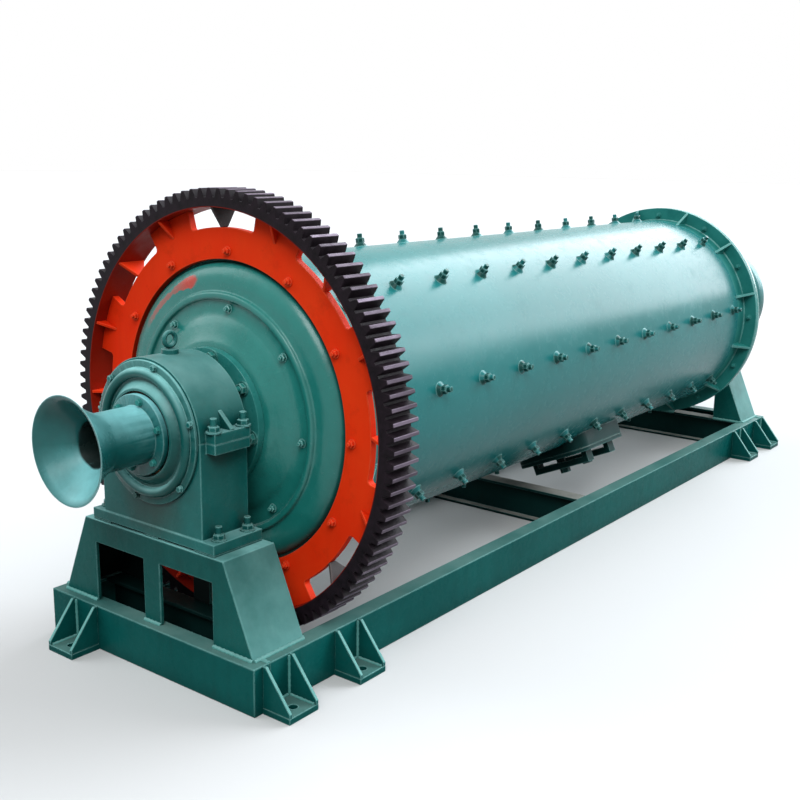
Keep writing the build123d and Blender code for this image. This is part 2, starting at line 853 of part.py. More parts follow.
made = [
    gear_rim, gear_web, gear_gussets,
    drum_shell, gear_end_flange, far_end_flange, gear_end_ribs, far_end_ribs,
    gear_end_head, far_end_head, gear_end_trunnion, far_end_trunnion,
    feed_trumpet, discharge_spout,
    manhole_neck, manhole_cover, manhole_clamps, manhole_bolts,
    gear_end_housing_base, gear_end_housing_cap, gear_end_bush, gear_end_cover,
    gear_end_lifting_eye,
    far_end_housing_base, far_end_housing_cap, far_end_bush, far_end_cover,
    far_end_lifting_eye,
    gear_end_stand, far_end_stand, stand_packing,
    right_rail, left_rail, gear_end_beam, far_end_beam,
    gear_end_cross_beam, mid_cross_beam, far_end_cross_beam,
    foot_plates, foot_gussets,
]

os.makedirs("parts", exist_ok=True)
for piece in made:
    export_step(piece.part, f"parts/{piece.part.label}.step")
    print(piece.part.label, len(piece.part.solids()))
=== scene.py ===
# %% [markdown]
# # Dressing a ball mill
# A ball mill is a steel drum that turns slowly on two hollow trunnions.
# It is half full of steel balls, and they grind the ore that passes through.
# The drum, its toothed ring, the bearings and the welded frame come from the CAD part as plain solids.
# Blender gives them what a paint shop and years of work give them: soft edges, bolts, welds, enamel and wear.

# %% Load the frame that the CAD part fixes
import math
import random

import bmesh
import bpy
from mathutils import Matrix, Vector


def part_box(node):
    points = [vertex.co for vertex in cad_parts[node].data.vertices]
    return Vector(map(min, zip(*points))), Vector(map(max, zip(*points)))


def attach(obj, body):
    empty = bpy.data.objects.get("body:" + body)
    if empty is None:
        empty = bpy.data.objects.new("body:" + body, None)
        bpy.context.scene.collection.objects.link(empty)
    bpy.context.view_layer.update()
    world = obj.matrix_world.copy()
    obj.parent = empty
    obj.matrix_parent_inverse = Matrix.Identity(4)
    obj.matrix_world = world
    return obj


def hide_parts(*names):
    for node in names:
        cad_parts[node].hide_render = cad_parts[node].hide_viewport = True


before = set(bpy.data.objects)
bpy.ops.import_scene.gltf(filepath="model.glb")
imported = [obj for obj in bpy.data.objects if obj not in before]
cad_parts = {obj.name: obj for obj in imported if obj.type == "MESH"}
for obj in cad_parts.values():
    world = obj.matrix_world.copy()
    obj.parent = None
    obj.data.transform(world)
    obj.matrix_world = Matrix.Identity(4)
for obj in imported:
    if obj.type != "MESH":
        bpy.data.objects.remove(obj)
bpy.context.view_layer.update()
random.seed(7)

# %% [markdown]
# The main sizes are read from the CAD nodes where that is possible, so the dressing follows the solids.
# The drum lies along X, its axis is at the middle of the toothed rim, and the ground is at zero.

# %% Read the main places from the CAD nodes
rim_low, rim_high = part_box("gear_rim")
AXIS_Z = (rim_low.z + rim_high.z) / 2
TOOTH_TIP_R = rim_high.y
SHELL_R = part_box("drum_shell")[1].y
GEAR_FLANGE_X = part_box("gear_end_flange")[1].x
FAR_FLANGE_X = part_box("far_end_flange")[0].x
SUNK = 0.001
print("axis height", round(AXIS_Z, 4), "shell radius", round(SHELL_R, 4))
print("flange faces on the shell at", round(GEAR_FLANGE_X, 4), "and", round(FAR_FLANGE_X, 4))


def around(x, radius, degrees):
    """A place on the drum: along X, out from the axis, and round it from +Y towards +Z."""
    turn = math.radians(degrees)
    return Vector((x, radius * math.cos(turn), AXIS_Z + radius * math.sin(turn)))


# %% [markdown]
# ## The studio
# A dim dome, a pale floor and a few soft suns light the mill, so that its form and its colours read plainly.
# The white behind it is only what the camera and the reflections see, so it adds no light to the paint.

# %% Floor and dome
WARM_SHARES = (1.0, 0.97, 0.93)


def ray_seen_directly(nodes, links):
    """One where the camera or a mirror looks, zero where light bounces."""
    path = nodes.new("ShaderNodeLightPath")
    both = nodes.new("ShaderNodeMath")
    both.operation = "MAXIMUM"
    links.new(path.outputs["Is Camera Ray"], both.inputs[0])
    links.new(path.outputs["Is Glossy Ray"], both.inputs[1])
    every = nodes.new("ShaderNodeMath")
    every.operation = "MAXIMUM"
    links.new(both.outputs[0], every.inputs[0])
    links.new(path.outputs["Is Transmission Ray"], every.inputs[1])
    return every.outputs[0]


def make_studio_dome(strength, shown):
    """The world: a dim even dome for the light and white for the eye."""
    world = bpy.data.worlds.new("studio_dome")
    bpy.context.scene.world = world
    world.use_nodes = True
    nodes, links = world.node_tree.nodes, world.node_tree.links
    nodes.clear()
    lit = nodes.new("ShaderNodeBackground")
    lit.inputs["Color"].default_value = (0.93, 0.97, 1.0, 1)
    lit.inputs["Strength"].default_value = strength
    seen = nodes.new("ShaderNodeBackground")
    seen.inputs["Color"].default_value = (1, 1, 1, 1)
    seen.inputs["Strength"].default_value = shown
    mix = nodes.new("ShaderNodeMixShader")
    links.new(ray_seen_directly(nodes, links), mix.inputs[0])
    links.new(lit.outputs[0], mix.inputs[1])
    links.new(seen.outputs[0], mix.inputs[2])
    out = nodes.new("ShaderNodeOutputWorld")
    links.new(mix.outputs[0], out.inputs["Surface"])


def make_floor(half_size, seen_grey, bounced_grey):
    """A wide pale floor that keeps the mill's shadow."""
    bm = bmesh.new()
    bmesh.ops.create_grid(bm, x_segments=1, y_segments=1, size=half_size)
    mesh = bpy.data.meshes.new("studio_floor")
    bm.to_mesh(mesh)
    bm.free()
    floor = bpy.data.objects.new("studio_floor", mesh)
    bpy.context.scene.collection.objects.link(floor)
    material = bpy.data.materials.new("studio_floor_white")
    material.use_nodes = True
    nodes, links = material.node_tree.nodes, material.node_tree.links
    shader = nodes["Principled BSDF"]
    shader.inputs["Roughness"].default_value = 0.9
    shader.inputs["Specular IOR Level"].default_value = 0.1
    mix = nodes.new("ShaderNodeMix")
    mix.data_type = "RGBA"
    mix.inputs["A"].default_value = (*(bounced_grey * share for share in WARM_SHARES), 1)
    mix.inputs["B"].default_value = (seen_grey, seen_grey, seen_grey, 1)
    links.new(ray_seen_directly(nodes, links), mix.inputs["Factor"])
    links.new(mix.outputs["Result"], shader.inputs["Base Color"])
    mesh.materials.append(material)


make_studio_dome(strength=0.28, shown=1.0)
make_floor(half_size=60, seen_grey=0.67, bounced_grey=0.10)
bpy.context.scene.view_settings.view_transform = "Standard"

# %% [markdown]
# A sun's angle is how wide it looks in the sky. A wide one gives soft shadows and a broad highlight on gloss.
# The key sun comes over the camera's shoulder, and the sheen sun stands past the far end of the drum,
# where it lays the bright band along the drum's upper side.
# The others stand for open sky above and at each side.

# %% Five soft suns
LAMP_DISTANCE = 8


def add_sun(name, towards, strength, spread_degrees, tint=(1, 1, 1)):
    """A sun whose light comes from the given direction."""
    lamp = bpy.data.lights.new(name, "SUN")
    lamp.color = tint
    lamp.energy = strength
    lamp.angle = math.radians(spread_degrees)
    sun = bpy.data.objects.new(name, lamp)
    sun.rotation_mode = "QUATERNION"
    sun.rotation_quaternion = Vector(towards).to_track_quat("Z", "Y")
    sun.location = Vector(towards) * LAMP_DISTANCE
    bpy.context.scene.collection.objects.link(sun)


SKY_TINT = (0.90, 0.97, 1.0)
SHEEN_TINT = (0.88, 0.94, 1.0)
add_sun("key_sun", (-0.54, -0.40, 0.74), 1.7, 34)
add_sun("sky_sun", (0.0, -0.1, 1.0), 0.7, 110, SKY_TINT)
add_sun("sheen_sun", (0.85, -0.10, 0.50), 3.7, 54, SHEEN_TINT)
add_sun("left_sky_sun", (-0.30, 0.74, 0.60), 0.9, 44, SKY_TINT)
add_sun("right_sky_sun", (0.70, -0.66, 0.36), 0.8, 26, SKY_TINT)
print("suns:", [light.name for light in bpy.data.lights])

# %% [markdown]
# ## The camera
# The place and the direction were solved from circles and lengths that the photograph shows.
# The picture had been squeezed sideways.
# The lens here is set from its width, so upright sizes come out lower.

# %% Camera at the photograph's viewpoint
IMAGE_PX = 800
FOCAL_PX = 1091.0
SENSOR_MM = 36.0
CAMERA_PLACE = (-3.7945, -2.3728, 1.4856)
SIGHT_LIMIT = 200
YAW, PITCH, ROLL = 0.656, 0.222, 0.014
camera_data = bpy.data.cameras.new("photo_camera")
camera_data.sensor_width = SENSOR_MM
camera_data.sensor_fit = "HORIZONTAL"
camera_data.lens = SENSOR_MM * FOCAL_PX / IMAGE_PX
camera = bpy.data.objects.new("photo_camera", camera_data)
look = Vector((math.cos(YAW) * math.cos(PITCH), math.sin(YAW) * math.cos(PITCH), -math.sin(PITCH)))
level = Vector((math.sin(YAW), -math.cos(YAW), 0))
upward = level.cross(look)
sideways = level * math.cos(ROLL) + upward * math.sin(ROLL)
raised = upward * math.cos(ROLL) - level * math.sin(ROLL)
turned = Matrix((sideways, raised, -look)).transposed()
camera.rotation_mode = "QUATERNION"
camera.rotation_quaternion = turned.to_quaternion()
camera.location = CAMERA_PLACE
camera_data.clip_end = SIGHT_LIMIT
bpy.context.scene.collection.objects.link(camera)
bpy.context.scene.camera = camera
print("lens", round(camera_data.lens, 1), "mm")

# %% [markdown]
# ## Paint, as groups that several finishes share
# Shop enamel on a mill is never one colour. It runs a little, it wears on the edges, and dust and grease
# settle on it. One group makes that, with painted shade in corners and painted highlights on edges and tops,
# and puts out a colour, a roughness and a height. The shader itself stays in each material.

# %% Helpers that place nodes in a tree
def new_group(name, inputs, outputs):
    """An empty shader group with named sockets."""
    group = bpy.data.node_groups.new(name, "ShaderNodeTree")
    for label, kind, value in inputs:
        socket = group.interface.new_socket(name=label, in_out="INPUT", socket_type=kind)
        socket.default_value = value
    for label, kind in outputs:
        group.interface.new_socket(name=label, in_out="OUTPUT", socket_type=kind)
    return group


def feed(links, value, socket):
    """Links a socket, or writes a plain value."""
    if isinstance(value, bpy.types.NodeSocket):
        links.new(value, socket)
    elif value is not None:
        socket.default_value = value


def noise(tree, vector, scale, detail=4.0, roughness=0.55):
    """A noise value from zero to one."""
    node = tree.nodes.new("ShaderNodeTexNoise")
    tree.links.new(vector, node.inputs["Vector"])
    feed(tree.links, scale, node.inputs["Scale"])
    node.inputs["Detail"].default_value = detail
    node.inputs["Roughness"].default_value = roughness
    return node.outputs["Fac"]


def stretched(tree, vector, scale):
    """The same coordinates at another scale along each axis."""
    node = tree.nodes.new("ShaderNodeMapping")
    tree.links.new(vector, node.inputs["Vector"])
    node.inputs["Scale"].default_value = scale
    return node.outputs["Vector"]


def remap(tree, value, low, high, to_low=0.0, to_high=1.0):
    """Spreads the band from low to high over another band, and clamps it."""
    node = tree.nodes.new("ShaderNodeMapRange")
    tree.links.new(value, node.inputs["Value"])
    bands = {"From Min": low, "From Max": high, "To Min": to_low, "To Max": to_high}
    for label, number in bands.items():
        feed(tree.links, number, node.inputs[label])
    return node.outputs["Result"]


def sums(tree, operation, first, second=None):
    """A math node on two values."""
    node = tree.nodes.new("ShaderNodeMath")
    node.operation = operation
    feed(tree.links, first, node.inputs[0])
    feed(tree.links, second, node.inputs[1])
    return node.outputs[0]


def blend_colours(tree, mask, first, second):
    """The first colour where the mask is zero, the second where it is one."""
    node = tree.nodes.new("ShaderNodeMix")
    node.data_type = "RGBA"
    feed(tree.links, mask, node.inputs["Factor"])
    feed(tree.links, first, node.inputs["A"])
    feed(tree.links, second, node.inputs["B"])
    return node.outputs["Result"]


# %% [markdown]
# Edges and corners are found by two masks. A rounded normal that differs from the true one marks a turn
# in the surface, and ambient occlusion tells an open edge from a closed corner, so wear and a painted
# highlight sit outside and painted shade inside.

# %% Group: edge and corner masks
def make_edge_masks():
    """Masks for open edges and for closed corners."""
    tree = new_group("edge_and_corner", [
        ("Width", "NodeSocketFloat", 0.004),
        ("Reach", "NodeSocketFloat", 0.05),
    ], [("Edge", "NodeSocketFloat"), ("Corner", "NodeSocketFloat")])
    inside = tree.nodes.new("NodeGroupInput")
    outside = tree.nodes.new("NodeGroupOutput")
    rounded = tree.nodes.new("ShaderNodeBevel")
    rounded.samples = 4
    tree.links.new(inside.outputs["Width"], rounded.inputs["Radius"])
    true = tree.nodes.new("ShaderNodeNewGeometry")
    dot = tree.nodes.new("ShaderNodeVectorMath")
    dot.operation = "DOT_PRODUCT"
    tree.links.new(rounded.outputs["Normal"], dot.inputs[0])
    tree.links.new(true.outputs["Normal"], dot.inputs[1])
    turn = remap(tree, dot.outputs["Value"], 0.995, 0.80)
    shade = tree.nodes.new("ShaderNodeAmbientOcclusion")
    shade.samples = 4
    tree.links.new(inside.outputs["Reach"], shade.inputs["Distance"])
    corner = remap(tree, shade.outputs["AO"], 0.88, 0.35)
    open_side = sums(tree, "SUBTRACT", 1.0, corner)
    tree.links.new(sums(tree, "MULTIPLY", turn, open_side), outside.inputs["Edge"])
    tree.links.new(corner, outside.inputs["Corner"])
    return tree


EDGE_MASKS = make_edge_masks()
print("edge group:", EDGE_MASKS.name, "with", len(EDGE_MASKS.nodes), "nodes")

# %% [markdown]
# The enamel itself is built up in layers: a patchy colour with a fine mottle, runs, painted corner shade,
# grime in spots, dust and painted sheen on what looks up, and last the worn and highlit edges on top of it
# all.

# %% Group: brushed and sprayed enamel
EDGE_WIDTH = 0.006
CORNER_REACH = 0.06


def make_enamel_coat():
    """Colour, roughness and height of shop enamel on steel, with painted shade and painted highlights."""
    tree = new_group("enamel_coat", [
        ("Paint", "NodeSocketColor", (0.03, 0.2, 0.18, 1)),
        ("Faded", "NodeSocketColor", (0.08, 0.3, 0.28, 1)),
        ("Deep", "NodeSocketColor", (0.01, 0.08, 0.07, 1)),
        ("Edge Tint", "NodeSocketColor", (0.3, 0.6, 0.58, 1)),
        ("Grime", "NodeSocketColor", (0.02, 0.02, 0.018, 1)),
        ("Patch Scale", "NodeSocketFloat", 2.2),
        ("Edge Wear", "NodeSocketFloat", 0.7),
        ("Dirt", "NodeSocketFloat", 0.5),
        ("Gloss", "NodeSocketFloat", 0.35),
        ("Runs", "NodeSocketFloat", 0.2),
        ("Dust", "NodeSocketFloat", 0.0),
        ("Dust Tint", "NodeSocketColor", (0.24, 0.38, 0.37, 1)),
        ("Dust From", "NodeSocketFloat", 0.22),
    ], [
        ("Color", "NodeSocketColor"),
        ("Roughness", "NodeSocketFloat"),
        ("Height", "NodeSocketFloat"),
    ])
    inside = tree.nodes.new("NodeGroupInput")
    outside = tree.nodes.new("NodeGroupOutput")
    place = tree.nodes.new("ShaderNodeTexCoord").outputs["Object"]
    patches = remap(tree, noise(tree, place, inside.outputs["Patch Scale"], 5), 0.35, 0.68)
    mottle = remap(tree, noise(tree, place, 26.0, 6, 0.65), 0.3, 0.75)
    runs = remap(tree, noise(tree, stretched(tree, place, (22, 22, 1.6)), 1.0, 3), 0.5, 0.78)
    peel = noise(tree, place, 190.0, 2)
    tone = sums(tree, "ADD", sums(tree, "MULTIPLY", patches, 0.6), sums(tree, "MULTIPLY", mottle, 0.2))
    colour = blend_colours(tree, tone, inside.outputs["Paint"], inside.outputs["Faded"])
    run_marks = sums(tree, "MULTIPLY", runs, inside.outputs["Runs"])
    colour = blend_colours(tree, run_marks, colour, inside.outputs["Deep"])
    masks = tree.nodes.new("ShaderNodeGroup")
    masks.node_tree = EDGE_MASKS
    masks.inputs["Width"].default_value = EDGE_WIDTH
    masks.inputs["Reach"].default_value = CORNER_REACH
    # Painted shade: closed corners are darkened towards the runs' colour, where shade falls.
    corner = sums(tree, "MULTIPLY", masks.outputs["Corner"], inside.outputs["Dirt"])
    colour = blend_colours(tree, corner, colour, inside.outputs["Deep"])
    settled = remap(tree, noise(tree, place, 9.0, 8, 0.7), 0.56, 0.74)
    settled = sums(tree, "MULTIPLY", settled, inside.outputs["Dirt"])
    colour = blend_colours(tree, sums(tree, "MULTIPLY", settled, 0.35), colour, inside.outputs["Grime"])
    facing = tree.nodes.new("ShaderNodeSeparateXYZ")
    tree.links.new(tree.nodes.new("ShaderNodeTexCoord").outputs["Normal"], facing.inputs[0])
    # Dust and painted sheen: a pale film on faces that look up, partly dust and partly light from above.
    upward_facing = remap(tree, facing.outputs["Z"], inside.outputs["Dust From"], 0.85)
    uneven = remap(tree, noise(tree, place, 5.0, 6, 0.6), 0.3, 0.62, 0.35, 1.0)
    dust_and_sheen_film = sums(tree, "MULTIPLY", upward_facing, uneven)
    dust_and_sheen_film = sums(tree, "MULTIPLY", dust_and_sheen_film, inside.outputs["Dust"])
    colour = blend_colours(tree, dust_and_sheen_film, colour, inside.outputs["Dust Tint"])
    # Wear and painted highlight: open edges turn pale, partly rubbed paint and partly a painted highlight.
    rubbed = remap(tree, noise(tree, place, 34.0, 5, 0.6), 0.18, 0.5)
    edge = sums(tree, "MULTIPLY", masks.outputs["Edge"], rubbed)
    edge = sums(tree, "MULTIPLY", edge, inside.outputs["Edge Wear"])
    colour = blend_colours(tree, edge, colour, inside.outputs["Edge Tint"])
    tree.links.new(colour, outside.inputs["Color"])
    rough = sums(tree, "ADD", inside.outputs["Gloss"], sums(tree, "MULTIPLY", mottle, 0.12))
    rough = sums(tree, "ADD", rough, sums(tree, "MULTIPLY", settled, 0.3))
    rough = sums(tree, "ADD", rough, sums(tree, "MULTIPLY", dust_and_sheen_film, 0.3))
    tree.links.new(rough, outside.inputs["Roughness"])
    height = sums(tree, "ADD", sums(tree, "MULTIPLY", peel, 0.5), sums(tree, "MULTIPLY", mottle, 0.7))
    height = sums(tree, "ADD", height, sums(tree, "MULTIPLY", runs, 0.5))
    tree.links.new(height, outside.inputs["Height"])
    return tree


ENAMEL = make_enamel_coat()
print("enamel group:", ENAMEL.name, "with", len(ENAMEL.nodes), "nodes")

# %% Helpers that start a material and fill it with enamel
BUMP_STRENGTH = 0.6


def start_finish(name, specular, bump_mm, ior=1.45):
    """A material with its Principled shader and a bump node in place."""
    material = bpy.data.materials.new(name)
    material.use_nodes = True
    tree = material.node_tree
    shader = tree.nodes["Principled BSDF"]
    shader.inputs["Specular IOR Level"].default_value = specular
    shader.inputs["IOR"].default_value = ior
    bump = tree.nodes.new("ShaderNodeBump")
    bump.inputs["Distance"].default_value = bump_mm / 1000
    bump.inputs["Strength"].default_value = BUMP_STRENGTH
    tree.links.new(bump.outputs["Normal"], shader.inputs["Normal"])
    return material, tree, shader, bump


def enamel_finish(name, values, specular=0.5, bump_mm=0.6, ior=1.25):
    """Enamel with its own colours and amounts."""
    material, tree, shader, bump = start_finish(name, specular, bump_mm, ior)
    coat_group = tree.nodes.new("ShaderNodeGroup")
    coat_group.node_tree = ENAMEL
    for label, value in values.items():
        coat_group.inputs[label].default_value = value
    tree.links.new(coat_group.outputs["Color"], shader.inputs["Base Color"])
    tree.links.new(coat_group.outputs["Roughness"], shader.inputs["Roughness"])
    tree.links.new(coat_group.outputs["Height"], bump.inputs["Height"])
    return material


# %% [markdown]
# ## The finishes
# The same teal covers the frame, the drum and the heads, but each was sprayed at another time and wears in
# its own way. Some copies differ by light alone: darker ones are painted shade, paler films painted sheen.
# The toothed ring's web is a raw orange red. Its teeth are dark with old grease, and paler on their worn
# tops.

# %% Teal enamels
def rgb(red, green, blue):
    """A colour given as it looks on screen, from 0 to 255, made linear."""
    def straight(value):
        part = value / 255
        return part / 12.92 if part <= 0.04045 else ((part + 0.055) / 1.055) ** 2.4
    return (straight(red), straight(green), straight(blue), 1.0)


# On each enamel, the pale film on what looks up is dust and painted sheen together.
frame_enamel = enamel_finish("frame_enamel", {
    "Paint": rgb(8, 82, 79), "Faded": rgb(20, 103, 99), "Deep": rgb(6, 42, 40),
    "Edge Tint": rgb(150, 214, 210), "Grime": rgb(50, 44, 38), "Patch Scale": 2.4,
    "Edge Wear": 1.0, "Dirt": 0.55, "Gloss": 0.22, "Runs": 0.16, "Dust": 0.5,
    "Dust Tint": rgb(124, 158, 152),
}, specular=0.25, ior=1.17)
# Painted sheen: the stands' pale film reaches every face that looks up at all, so their sloping sides look
# lit from above.
stand_enamel = enamel_finish("stand_enamel", {
    "Paint": rgb(12, 86, 82), "Faded": rgb(28, 108, 103), "Deep": rgb(6, 42, 40),
    "Edge Tint": rgb(150, 214, 210), "Grime": rgb(50, 44, 38), "Patch Scale": 2.4,
    "Edge Wear": 1.0, "Dirt": 0.55, "Gloss": 0.22, "Runs": 0.16, "Dust": 1.0,
    "Dust Tint": rgb(138, 200, 197), "Dust From": 0.0,
}, ior=1.17)
drum_enamel = enamel_finish("drum_enamel", {
    "Paint": rgb(26, 114, 114), "Faded": rgb(46, 136, 137), "Deep": rgb(12, 66, 66),
    "Edge Tint": rgb(160, 220, 218), "Grime": rgb(58, 64, 60), "Patch Scale": 1.1,
    "Edge Wear": 0.85, "Dirt": 0.34, "Gloss": 0.20, "Runs": 0.05, "Dust": 0.0,
}, bump_mm=0.09, ior=1.28)
# Painted sheen: the trumpet's pale cyan film on what looks up stands in for the sky reflected in the bell.
trumpet_enamel = enamel_finish("trumpet_enamel", {
    "Paint": rgb(17, 96, 94), "Faded": rgb(38, 124, 123), "Deep": rgb(12, 66, 66),
    "Edge Tint": rgb(160, 220, 218), "Grime": rgb(40, 44, 40), "Patch Scale": 5.0,
    "Edge Wear": 0.9, "Dirt": 0.7, "Gloss": 0.16, "Runs": 0.05, "Dust": 0.95,
    "Dust Tint": rgb(146, 222, 226), "Dust From": 0.05,
}, bump_mm=0.3, ior=1.4)
fitting_enamel = enamel_finish("fitting_enamel", {
    "Paint": rgb(12, 70, 66), "Faded": rgb(22, 88, 82), "Deep": rgb(5, 34, 32),
    "Edge Tint": rgb(140, 204, 200), "Grime": rgb(44, 36, 32), "Patch Scale": 6.0,
    "Edge Wear": 1.0, "Dirt": 0.8, "Gloss": 0.26, "Runs": 0.1, "Dust": 0.0,
}, ior=1.22)
# Painted shade: a darker copy of the frame's teal for the cross beams and the manhole, which lie in shade.
# The pale film on its tops is dust.
shade_enamel = enamel_finish("shade_enamel", {
    "Paint": rgb(10, 46, 45), "Faded": rgb(18, 60, 58), "Deep": rgb(5, 24, 24),
    "Edge Tint": rgb(120, 176, 172), "Grime": rgb(44, 36, 32), "Patch Scale": 3.0,
    "Edge Wear": 0.9, "Dirt": 0.8, "Gloss": 0.45, "Runs": 0.1, "Dust": 0.9,
    "Dust Tint": rgb(168, 166, 160), "Dust From": 0.6,
}, specular=0.3, ior=1.2)
# Painted shade: darker still and with no film, for the cross beam seen through the stands' windows.
under_enamel = enamel_finish("under_enamel", {
    "Paint": rgb(8, 36, 35), "Faded": rgb(14, 48, 46), "Deep": rgb(5, 24, 24),
    "Edge Tint": rgb(60, 92, 90), "Grime": rgb(44, 36, 32), "Patch Scale": 3.0,
    "Edge Wear": 0.6, "Dirt": 0.8, "Gloss": 0.5, "Runs": 0.1, "Dust": 0.0,
}, specular=0.3, ior=1.2)
bearing_enamel = enamel_finish("bearing_enamel", {
    "Paint": rgb(18, 102, 98), "Faded": rgb(44, 132, 128), "Deep": rgb(6, 44, 42),
    "Edge Tint": rgb(150, 214, 210), "Grime": rgb(40, 38, 34), "Patch Scale": 4.0,
    "Edge Wear": 0.9, "Dirt": 0.8, "Gloss": 0.20, "Runs": 0.12, "Dust": 0.7,
    "Dust Tint": rgb(136, 190, 188),
}, ior=1.24)
# Painted highlight: the cover's pale film on everything that looks even a little up brightens its rolled
# ring.
cover_enamel = enamel_finish("cover_enamel", {
    "Paint": rgb(14, 90, 86), "Faded": rgb(34, 116, 112), "Deep": rgb(6, 44, 42),
    "Edge Tint": rgb(160, 222, 218), "Grime": rgb(40, 38, 34), "Patch Scale": 4.0,
    "Edge Wear": 1.0, "Dirt": 0.8, "Gloss": 0.16, "Runs": 0.12, "Dust": 1.0,
    "Dust Tint": rgb(150, 220, 218), "Dust From": 0.02,
}, ior=1.28)
primer_grey = enamel_finish("primer_grey", {
    "Paint": rgb(62, 58, 58), "Faded": rgb(88, 84, 84), "Deep": rgb(26, 22, 22),
    "Edge Tint": rgb(150, 140, 138), "Grime": rgb(70, 24, 16), "Patch Scale": 9.0,
    "Edge Wear": 0.7, "Dirt": 0.9, "Gloss": 0.4, "Runs": 0.1, "Dust": 0.0,
}, specular=0.3)
# Painted shade: near black for the insides of the stands, which lie in shade.
primer_dark = enamel_finish("primer_dark", {
    "Paint": rgb(14, 26, 26), "Faded": rgb(22, 38, 37), "Deep": rgb(6, 12, 12),
    "Edge Tint": rgb(60, 92, 90), "Grime": rgb(40, 34, 30), "Patch Scale": 7.0,
    "Edge Wear": 0.5, "Dirt": 0.9, "Gloss": 0.5, "Runs": 0.1, "Dust": 0.0,
}, specular=0.3)
head_enamel = enamel_finish("head_enamel", {
    "Paint": rgb(26, 122, 114), "Faded": rgb(50, 146, 138), "Deep": rgb(7, 58, 54),
    "Edge Tint": rgb(156, 220, 214), "Grime": rgb(34, 36, 32), "Patch Scale": 3.2,
    "Edge Wear": 1.0, "Dirt": 0.65, "Gloss": 0.18, "Runs": 0.05, "Dust": 0.0,
}, bump_mm=0.9, ior=1.45)
web_enamel = enamel_finish("web_enamel", {
    "Paint": rgb(250, 50, 12), "Faded": rgb(253, 70, 24), "Deep": rgb(150, 22, 6),
    "Edge Tint": rgb(250, 140, 96), "Grime": rgb(52, 18, 12), "Patch Scale": 3.0,
    "Edge Wear": 0.5, "Dirt": 0.55, "Gloss": 0.42, "Runs": 0.08, "Dust": 0.0,
}, specular=0.3, ior=1.2)
# Painted highlight: the welds are paler than the frame, as if each bead caught the light.
weld_enamel = enamel_finish("weld_enamel", {
    "Paint": rgb(74, 150, 144), "Faded": rgb(120, 184, 178), "Deep": rgb(16, 70, 66),
    "Edge Tint": rgb(160, 220, 216), "Grime": rgb(50, 44, 38), "Patch Scale": 14.0,
    "Edge Wear": 0.6, "Dirt": 0.4, "Gloss": 0.4, "Runs": 0.0, "Dust": 0.4,
}, bump_mm=1.5)
ENAMELS = sorted(m.name for m in bpy.data.materials if m.name.endswith("enamel"))
print(len(ENAMELS), "enamels:", ENAMELS)

# %% [markdown]
# The metals need other nodes. What changes with the distance from the drum's axis, such as the worn
# tooth tops, is told by one helper that measures that distance at each point.

# %% Bare and greased metals
TIP_WEAR_FROM = TOOTH_TIP_R - 0.0025
TIP_WEAR_FULL = TOOTH_TIP_R - 0.0008
RIM_BORE_R = 0.618
SPRAY_FADE = 0.0015


def radius_from_axis(tree, place):
    """How far a point lies from the drum's axis."""
    parts = tree.nodes.new("ShaderNodeSeparateXYZ")
    tree.links.new(place, parts.inputs[0])
    joined = tree.nodes.new("ShaderNodeCombineXYZ")
    tree.links.new(parts.outputs["Y"], joined.inputs["Y"])
    tree.links.new(sums(tree, "SUBTRACT", parts.outputs["Z"], AXIS_Z), joined.inputs["Z"])
    length = tree.nodes.new("ShaderNodeVectorMath")
    length.operation = "LENGTH"
    tree.links.new(joined.outputs[0], length.inputs[0])
    return length.outputs["Value"]


def greased_teeth_finish():
    """Black greased iron with worn tooth tops and red spray on the inner face."""
    material, tree, shader, bump = start_finish("greased_teeth", specular=0.25, bump_mm=0.8, ior=1.25)
    place = tree.nodes.new("ShaderNodeTexCoord").outputs["Object"]
    radius = radius_from_axis(tree, place)
    clots = remap(tree, noise(tree, place, 30.0, 8, 0.7), 0.3, 0.72)
    smear = remap(tree, noise(tree, stretched(tree, place, (3, 30, 30)), 1.0, 5), 0.35, 0.65)
    iron = blend_colours(tree, clots, rgb(14, 10, 13), rgb(40, 31, 38))
    tops = remap(tree, radius, TIP_WEAR_FROM, TIP_WEAR_FULL)
    tops = sums(tree, "MULTIPLY", tops, remap(tree, smear, 0.0, 1.0, 0.45, 1.0))
    colour = blend_colours(tree, tops, iron, rgb(112, 100, 114))
    inner = remap(tree, radius, RIM_BORE_R + SPRAY_FADE, RIM_BORE_R - SPRAY_FADE)
    colour = blend_colours(tree, inner, colour, rgb(150, 34, 16))
    tree.links.new(colour, shader.inputs["Base Color"])
    tree.links.new(sums(tree, "MULTIPLY", tops, 0.6), shader.inputs["Metallic"])
    tree.links.new(remap(tree, clots, 0.0, 1.0, 0.34, 0.62), shader.inputs["Roughness"])
    tree.links.new(clots, bump.inputs["Height"])
    return material


def machined_finish(name, light, dark, rough, metal):
    """Turned or rolled metal with fine rings and a little oil."""
    material, tree, shader, bump = start_finish(name, specular=0.5, bump_mm=0.15)
    place = tree.nodes.new("ShaderNodeTexCoord").outputs["Object"]
    rings = noise(tree, stretched(tree, place, (420, 6, 6)), 1.0, 3)
    stains = remap(tree, noise(tree, place, 22.0, 6, 0.65), 0.4, 0.7)
    colour = blend_colours(tree, stains, light, dark)
    tree.links.new(colour, shader.inputs["Base Color"])
    shader.inputs["Metallic"].default_value = metal
    tree.links.new(remap(tree, stains, 0.0, 1.0, rough, rough + 0.3), shader.inputs["Roughness"])
    tree.links.new(rings, bump.inputs["Height"])
    return material


greased_teeth = greased_teeth_finish()
journal_metal = machined_finish("journal_metal", rgb(150, 152, 154), rgb(70, 66, 60), 0.25, 1.0)
bronze = machined_finish("bearing_bronze", rgb(104, 78, 48), rgb(46, 34, 24), 0.3, 1.0)

